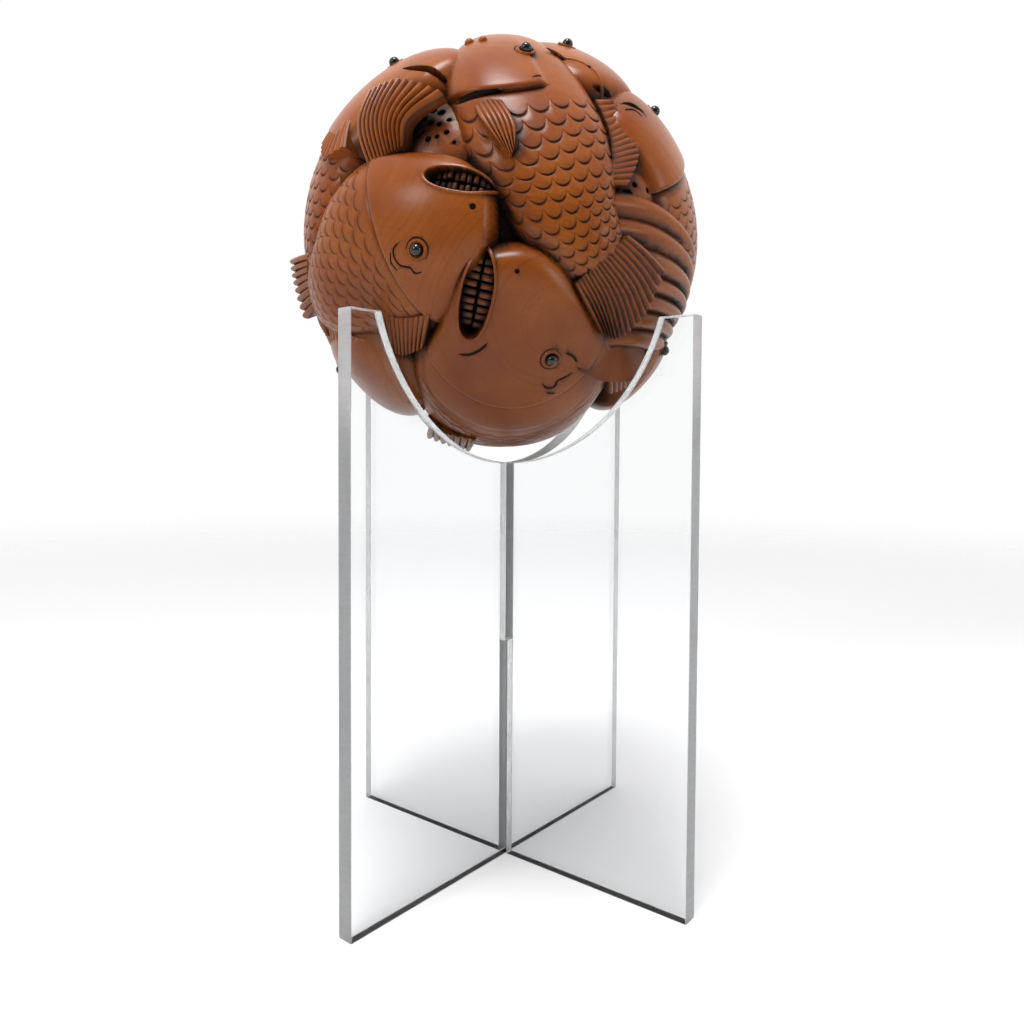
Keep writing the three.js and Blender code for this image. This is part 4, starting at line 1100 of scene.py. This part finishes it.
def bead_group():
    """A polished bead on every point."""
    group, source, sink = geometry_group(
        "Polished Bead",
        [("Radius", "NodeSocketFloat", BEAD_RADIUS * MM), ("Segments", "NodeSocketInt", 32),
         ("Material", "NodeSocketMaterial", None)])
    sphere = add(group, "GeometryNodeMeshUVSphere")
    group.links.new(source.outputs["Segments"], sphere.inputs["Segments"])
    half = add(group, "ShaderNodeMath", {"operation": "DIVIDE"}, i0=source.outputs["Segments"], i1=2.0)
    group.links.new(half.outputs[0], sphere.inputs["Rings"])
    group.links.new(source.outputs["Radius"], sphere.inputs["Radius"])
    place = add(group, "GeometryNodeInstanceOnPoints")
    group.links.new(source.outputs["Geometry"], place.inputs["Points"])
    group.links.new(sphere.outputs["Mesh"], place.inputs["Instance"])
    real = add(group, "GeometryNodeRealizeInstances", Geometry=place.outputs[0])
    smooth = add(group, "GeometryNodeSetShadeSmooth", i0=real.outputs[0])
    finish = add(group, "GeometryNodeSetMaterial", Geometry=smooth.outputs[0])
    group.links.new(source.outputs["Material"], finish.inputs["Material"])
    group.links.new(finish.outputs[0], sink.inputs["Geometry"])
    return group


# ---------------------------------------------------------------- pieces


def tooth_objects(carp, name, material):
    places = tooth_places(carp)
    mesh = bpy.data.meshes.new(name)
    mesh.from_pydata([(p[0] * MM).tolist() for p in places], [], [])
    for label, values in (("up", [p[1] for p in places]), ("along", [p[2] for p in places]),
                          ("size", [np.array(p[3]) * MM for p in places])):
        layer = mesh.attributes.new(label, "FLOAT_VECTOR", "POINT")
        layer.data.foreach_set("vector", np.array(values, np.float32).ravel())
    teeth = bpy.data.objects.new(name, mesh)
    bpy.context.scene.collection.objects.link(teeth)
    apply_group(teeth, tooth_row_group(), {"Roundness": 2, "Material": material})
    bpy.context.scene.collection.objects.unlink(teeth)
    for label in ("along", "up", "size"):
        layer = teeth.data.attributes.get(label)
        if layer:
            teeth.data.attributes.remove(layer)
    return teeth


def rock_shapes():
    lumps, holes = [], []
    for rock in ROCKS:
        dirs = direction(*rock["at"])
        centre = on_ball(dirs, rock["rise"] - rock["size"] * 0.5)
        lumps.append(ball_at(centre, rock["size"], 28, up=dirs, squash=0.5))
        for azimuth, elevation, radius in rock["holes"]:
            line = direction(azimuth, elevation)
            centres = np.stack([on_ball(line, h) for h in np.linspace(-11, 0, 6)])
            holes.append(tube(centres, np.broadcast_to(unit(np.cross(line, [0, 0, 1.0])), centres.shape),
                              np.full(6, radius), 10, groove=1.0))
    return lumps, holes


def carve_ball(material, detail):
    core = ball_at(BALL_CENTRE, BALL_RADIUS - GROUND_DEPTH, 48, up=np.array([0, 0, 1.0])).object("core")
    lumps, holes = rock_shapes()
    core = combine(core, [s.object("lump") for s in lumps], "UNION", "ground")
    core = combine(core, [s.object("hole") for s in holes], "DIFFERENCE", "ground_pierced")
    parts = []
    for number, carp in enumerate(CARP):
        fish = carp_body(carp, detail).object(f"carp_{number}")
        mouth = carp.get("mouth")
        if mouth and mouth["teeth"]:
            fish = combine(fish, [lips(carp, 0.5).object("lips")], "UNION", f"carp_{number}_lips")
        if mouth:
            cut = mouth_cut(carp, 4.5 if mouth["teeth"] else 1.6).object("mouth")
            fish = combine(fish, [cut], "DIFFERENCE", f"carp_{number}_mouth")
        if mouth and mouth["teeth"]:
            teeth = tooth_objects(carp, f"teeth_{number}", material)
            fish = combine(fish, [teeth], "UNION", f"carp_{number}_teeth")
        parts.append(fish)
    parts += [fin_shape(fin, detail).object("fin_" + name) for name, fin in FINS.items()]
    parts += [fin_shape(tail_fan(*fan), detail).object("fan") for fan in TAIL_FANS]
    parts += [line_shape(points, wide, 0, cut=False).object("ridge") for points, wide in RAISED]
    for azimuth, elevation, radius in KNOBS:
        dirs = direction(azimuth, elevation)
        high = surface_height(dirs[None])[0]
        parts.append(ball_at(on_ball(dirs, max(high, -6) - radius * 0.2), radius, 12).object("knob"))
    cuts = [line_shape(*cut).object("cut") for cut in CUTS]
    for place in eye_places():
        collar, engraved = eye_collars(place, detail)
        parts.append(collar.object("collar"))
        cuts.append(engraved.object("engraved"))
        cuts.append(ball_at(place[0], BEAD_RADIUS + 0.22, 24, groove=1.0).object("seat"))
    for azimuth, elevation, radius in NOSTRILS:
        dirs = direction(azimuth, elevation)
        high = surface_height(dirs[None])[0]
        cuts.append(ball_at(on_ball(dirs, high), radius, 12, groove=1.0).object("nostril"))
    ball = combine(core, parts, "UNION", "ball_joined")
    ball = combine(ball, cuts, "DIFFERENCE", "carved_carp_ball")
    shells = outer_shell(ball.data)
    points = np.zeros(len(ball.data.vertices) * 3)
    ball.data.vertices.foreach_get("co", points)
    ball.data.vertices.foreach_set("co", np.clip(points.reshape(-1, 3), *CAD_BOX).ravel())
    print("shells", shells, "triangles", sum(len(p.vertices) - 2 for p in ball.data.polygons))
    return ball


def plate_outline(slot_from_top):
    """The outline of a plate in its own plane, counter-clockwise, with the arc of its notch."""
    half, slot = PLATE_LENGTH / 2, SHEET / 2 + GAP
    notch = half - RIM_LAND
    depth = PLATE_HEIGHT - NOTCH_BOTTOM
    radius = (notch * notch + depth * depth) / (2 * depth)
    centre = NOTCH_BOTTOM + radius

    def arc(u):
        return centre - math.sqrt(radius * radius - u * u)

    outline = [(-half, 0)]
    if not slot_from_top:
        outline += [(-slot, 0), (-slot, SLOT_END + GAP), (slot, SLOT_END + GAP), (slot, 0)]
    outline += [(half, 0), (half, PLATE_HEIGHT)]
    outline += [(u, arc(u)) for u in np.linspace(notch, slot, 60)]
    if slot_from_top:
        outline += [(slot, SLOT_END), (-slot, SLOT_END)]
    outline += [(u, arc(u)) for u in np.linspace(-slot, -notch, 60)]
    outline += [(-half, PLATE_HEIGHT)]
    return outline


def plate_object(name, slot_from_top, turn, face, edge):
    outline = plate_outline(slot_from_top)
    bm = bmesh.new()
    front = [bm.verts.new((u * MM, -SHEET / 2 * MM, z * MM)) for u, z in outline]
    back = [bm.verts.new((u * MM, SHEET / 2 * MM, z * MM)) for u, z in outline]
    bm.faces.new(front)
    bm.faces.new(back[::-1])
    for i in range(len(outline)):
        wall = bm.faces.new((front[i - 1], back[i - 1], back[i], front[i]))
        wall.material_index = 0 if outline[i - 1][1] == outline[i][1] == 0 else 1
    bmesh.ops.recalc_face_normals(bm, faces=bm.faces)
    sharp = [e for e in bm.edges if len(e.link_faces) == 2 and e.calc_face_angle(0) > 0.6]
    bmesh.ops.bevel(bm, geom=sharp, offset=0.22 * MM, segments=2, profile=0.6, affect="EDGES",
                    clamp_overlap=True, material=1)
    bmesh.ops.triangulate(bm, faces=[f for f in bm.faces if len(f.verts) > 4])
    bmesh.ops.rotate(bm, verts=bm.verts, cent=(0, 0, 0), matrix=Matrix.Rotation(math.radians(turn), 3, "Z"))
    mesh = bpy.data.meshes.new(name)
    bm.to_mesh(mesh)
    bm.free()
    mesh.materials.append(face)
    mesh.materials.append(edge)
    mesh.shade_smooth()
    mesh.set_sharp_from_angle(angle=math.radians(12))
    plate = bpy.data.objects.new(name, mesh)
    bpy.context.scene.collection.objects.link(plate)
    return plate


# ---------------------------------------------------------------- settings


class CarvingSettings(bpy.types.PropertyGroup):
    wood_colour: bpy.props.FloatVectorProperty(
        name="Wood colour", description="Colour of the polished boxwood in the open",
        subtype="COLOR", size=3, min=0, max=1, default=(0.33, 0.092, 0.014))
    # Strength of the painted shade in the cuts and hollows
    painted_shade: bpy.props.FloatProperty(
        name="Painted shade", description="How dark the painted shade in the cuts and hollows is",
        subtype="FACTOR", min=0, max=1, default=0.95)
    ring_spacing: bpy.props.FloatProperty(
        name="Ring spacing", description="Distance between the growth rings of the wood",
        subtype="DISTANCE", unit="LENGTH", min=0.0003, max=0.01, default=0.0011, precision=4)
    detail: bpy.props.FloatProperty(
        name="Carving detail", description="Density of the carved mesh; 1 is the full carving",
        subtype="FACTOR", min=0.3, max=1, default=1.0)


class BeadSettings(bpy.types.PropertyGroup):
    radius: bpy.props.FloatProperty(
        name="Bead radius", description="Radius of the black beads set in as eyes",
        subtype="DISTANCE", unit="LENGTH", min=0.0005, max=0.003, default=BEAD_RADIUS * MM, precision=4)
    segments: bpy.props.IntProperty(
        name="Segments", description="Segments round a bead", min=12, max=64, default=32)


class StandSettings(bpy.types.PropertyGroup):
    tint: bpy.props.FloatVectorProperty(
        name="Sheet tint", description="Tint of the clear acrylic sheet",
        subtype="COLOR", size=3, min=0, max=1, default=(0.985, 0.992, 0.995))


class StageSettings(bpy.types.PropertyGroup):
    floor_colour: bpy.props.FloatVectorProperty(
        name="Floor colour", description="Colour of the pale studio floor",
        subtype="COLOR", size=3, min=0, max=1, default=(0.86, 0.86, 0.87))
    brightness: bpy.props.FloatProperty(
        name="Brightness", description="Strength of the studio light", min=0.1, max=5, default=1.0)


# ---------------------------------------------------------------- operators


class OBJECT_OT_carp_ball(bpy.types.Operator):
    """Carve the boxwood ball of entwined carp"""

    bl_idname = "object.carp_ball"
    bl_label = "Carve Ball"
    bl_options = {"REGISTER", "UNDO"}

    def execute(self, context):
        settings = context.scene.carp_carving
        material = boxwood_material(settings)
        ball = carve_ball(material, settings.detail)
        bpy.context.scene.collection.objects.link(ball)
        mesh = ball.data
        mesh.materials.clear()
        mesh.materials.append(material)
        store_hollows(mesh, 14)
        mesh.shade_smooth()
        mesh.set_sharp_from_angle(angle=math.radians(38))
        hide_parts("carved_ball")
        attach(ball, "root")
        return {"FINISHED"}


class OBJECT_OT_bead_eyes(bpy.types.Operator):
    """Set a black bead in each drilled eye"""

    bl_idname = "object.carp_bead_eyes"
    bl_label = "Set Bead Eyes"
    bl_options = {"REGISTER", "UNDO"}

    def execute(self, context):
        settings = context.scene.carp_beads
        material = bead_material()
        group = bead_group()
        for number, place in enumerate(eye_places(), 1):
            node = f"eye_{number:02d}"
            mesh = bpy.data.meshes.new("bead_" + node)
            mesh.from_pydata([(place[0] * MM).tolist()], [], [])
            bead = bpy.data.objects.new("bead_" + node, mesh)
            bpy.context.scene.collection.objects.link(bead)
            apply_group(bead, group, {"Radius": settings.radius, "Segments": settings.segments,
                                      "Material": material})
            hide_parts(node)
            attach(bead, "root")
        return {"FINISHED"}


class OBJECT_OT_acrylic_stand(bpy.types.Operator):
    """Cut the two interlocking acrylic plates of the stand"""

    bl_idname = "object.carp_acrylic_stand"
    bl_label = "Build Stand"
    bl_options = {"REGISTER", "UNDO"}

    def execute(self, context):
        tint = tuple(context.scene.carp_stand.tint)
        face = acrylic_material("acrylic_clear_faces", tint, False)
        edge = acrylic_material("acrylic_sawn_edges", tint, True)
        for letter, from_top, turn in (("a", True, 45), ("b", False, 135)):
            plate = plate_object(f"acrylic_plate_{letter}", from_top, turn, face, edge)
            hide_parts(f"stand_plate_{letter}")
            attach(plate, "root")
        return {"FINISHED"}


class OBJECT_OT_carp_stage(bpy.types.Operator):
    """Lay the pale floor and set the soft studio lights and the camera"""

    bl_idname = "object.carp_stage"
    bl_label = "Set Stage"
    bl_options = {"REGISTER", "UNDO"}

    def execute(self, context):
        settings = context.scene.carp_stage
        set_floor(settings)
        set_lights(settings)
        set_camera()
        return {"FINISHED"}


def set_floor(settings):
    material = bpy.data.materials.new("studio_floor")
    material.use_nodes = True
    tree = material.node_tree
    shader = tree.nodes["Principled BSDF"]
    place = add(tree, "ShaderNodeTexCoord")
    clouds = add(tree, "ShaderNodeTexNoise", Vector=place.outputs["Object"], Scale=2.0, Detail=1.0)
    colour = tuple(settings.floor_colour)
    paper = ramp(tree, clouds.outputs[0], [(0.3, tuple(c * 0.98 for c in colour)), (0.7, colour)])
    apart = add(tree, "ShaderNodeSeparateXYZ", i0=place.outputs["Object"])
    # Painted shadow: the floor is darkened in a band behind the stand.
    behind = add(tree, "ShaderNodeMapRange", {"interpolation_type": "SMOOTHSTEP"}, i0=apart.outputs[1],
                 i1=0.02, i2=0.3, i3=1.0, i4=0.86)
    paper = mix(tree, 1.0, paper, behind.outputs[0], "MULTIPLY")
    tree.links.new(paper, shader.inputs["Base Color"])
    shader.inputs["Roughness"].default_value = 0.55
    reach = add(tree, "ShaderNodeVectorMath", {"operation": "LENGTH"}, i0=place.outputs["Object"])
    fade = add(tree, "ShaderNodeMapRange", {"interpolation_type": "SMOOTHSTEP"},
               i0=reach.outputs["Value"], i1=0.3, i2=1.15, i3=1.0, i4=0.0)
    tree.links.new(fade.outputs[0], shader.inputs["Alpha"])
    mesh = bpy.data.meshes.new("studio_floor")
    bm = bmesh.new()
    bmesh.ops.create_grid(bm, x_segments=8, y_segments=8, size=3.0)
    bm.to_mesh(mesh)
    bm.free()
    mesh.materials.append(material)
    floor = bpy.data.objects.new("studio_floor", mesh)
    context_collection = bpy.context.scene.collection
    context_collection.objects.link(floor)


def set_lights(settings):
    world = bpy.data.worlds.new("soft_room")
    bpy.context.scene.world = world
    world.use_nodes = True
    tree = world.node_tree
    background = tree.nodes["Background"]
    place = add(tree, "ShaderNodeTexCoord")
    parts = add(tree, "ShaderNodeSeparateXYZ", i0=place.outputs["Generated"])
    behind = add(tree, "ShaderNodeMapRange", i0=parts.outputs[1], i1=-0.8, i2=0.1, i3=0.1, i4=1.05)
    above = add(tree, "ShaderNodeMapRange", i0=parts.outputs[2], i1=0.35, i2=0.8, i3=0.0, i4=1.0)
    level = math_node(tree, "MAXIMUM", behind.outputs[0], above.outputs[0])
    colour = ramp(tree, level, [(0.0, (0, 0, 0)), (1.0, (1.0, 1.0, 1.0))])
    tree.links.new(colour, background.inputs["Color"])
    background.inputs["Strength"].default_value = 1.0 * settings.brightness
    lamps = [
        ("key_softbox", (-0.12, -0.3, 1.05), 0.36, 7.5),
        ("window_softbox", (-0.75, -0.6, 0.6), 0.28, 2.4),
        ("fill_softbox", (0.75, -0.45, 0.3), 0.3, 1.0),
    ]
    target = Vector((0, 0, 0.15))
    for name, location, size, power in lamps:
        lamp = bpy.data.lights.new(name, "AREA")
        lamp.shape = "DISK"
        lamp.size = size
        lamp.energy = power * settings.brightness
        obj = bpy.data.objects.new(name, lamp)
        bpy.context.scene.collection.objects.link(obj)
        obj.location = location
        obj.rotation_euler = (target - Vector(location)).to_track_quat("-Z", "Y").to_euler()
    view = bpy.context.scene.view_settings
    view.view_transform = "Standard"
    view.look = "None"


def set_camera():
    """The viewpoint solved from the straight edges of the stand."""
    eye = Vector((-24.97, -245.93, 121.43)) * MM
    yaw, pitch, roll = 0.1088, 0.0364, 0.006
    ahead = Vector((math.sin(yaw) * math.cos(pitch), math.cos(yaw) * math.cos(pitch), -math.sin(pitch)))
    right = Vector((math.cos(yaw), -math.sin(yaw), 0))
    up = right.cross(ahead)
    right, up = (math.cos(roll) * right + math.sin(roll) * up, -math.sin(roll) * right + math.cos(roll) * up)
    data = bpy.data.cameras.new("viewpoint")
    data.sensor_width = 36
    data.lens = 856.5 / 1024 * 36
    data.shift_x = -(512.8 - 512) / 1024
    data.shift_y = (465.05 - 512) / 1024
    data.clip_start = 0.01
    camera = bpy.data.objects.new("viewpoint", data)
    turn = Matrix((right, up, -ahead)).transposed().to_4x4()
    camera.matrix_world = Matrix.Translation(eye) @ turn
    bpy.context.scene.collection.objects.link(camera)
    bpy.context.scene.camera = camera


class VIEW3D_PT_carp_ball(bpy.types.Panel):
    """Settings and steps of the carved ball"""

    bl_idname = "VIEW3D_PT_carp_ball"
    bl_label = "Carved Carp Ball"
    bl_space_type = "VIEW_3D"
    bl_region_type = "UI"
    bl_category = "Carp Ball"

    def draw(self, context):
        layout = self.layout
        for group, operator in STEPS:
            box = layout.box()
            settings = getattr(context.scene, group)
            for name in settings.__annotations__:
                box.prop(settings, name)
            box.operator(operator)


STEPS = [
    ("carp_carving", "object.carp_ball"),
    ("carp_beads", "object.carp_bead_eyes"),
    ("carp_stand", "object.carp_acrylic_stand"),
    ("carp_stage", "object.carp_stage"),
]
GROUPS = {
    "carp_carving": CarvingSettings,
    "carp_beads": BeadSettings,
    "carp_stand": StandSettings,
    "carp_stage": StageSettings,
}
CLASSES = [
    *GROUPS.values(),
    OBJECT_OT_carp_ball,
    OBJECT_OT_bead_eyes,
    OBJECT_OT_acrylic_stand,
    OBJECT_OT_carp_stage,
    VIEW3D_PT_carp_ball,
]


def register():
    for cls in CLASSES:
        bpy.utils.register_class(cls)
    for name, group in GROUPS.items():
        setattr(bpy.types.Scene, name, bpy.props.PointerProperty(type=group))


def unregister():
    for name in GROUPS:
        delattr(bpy.types.Scene, name)
    for cls in reversed(CLASSES):
        bpy.utils.unregister_class(cls)


def main():
    register()
    bpy.ops.object.carp_ball()
    bpy.ops.object.carp_bead_eyes()
    bpy.ops.object.carp_acrylic_stand()
    bpy.ops.object.carp_stage()


if __name__ == "__main__":
    main()
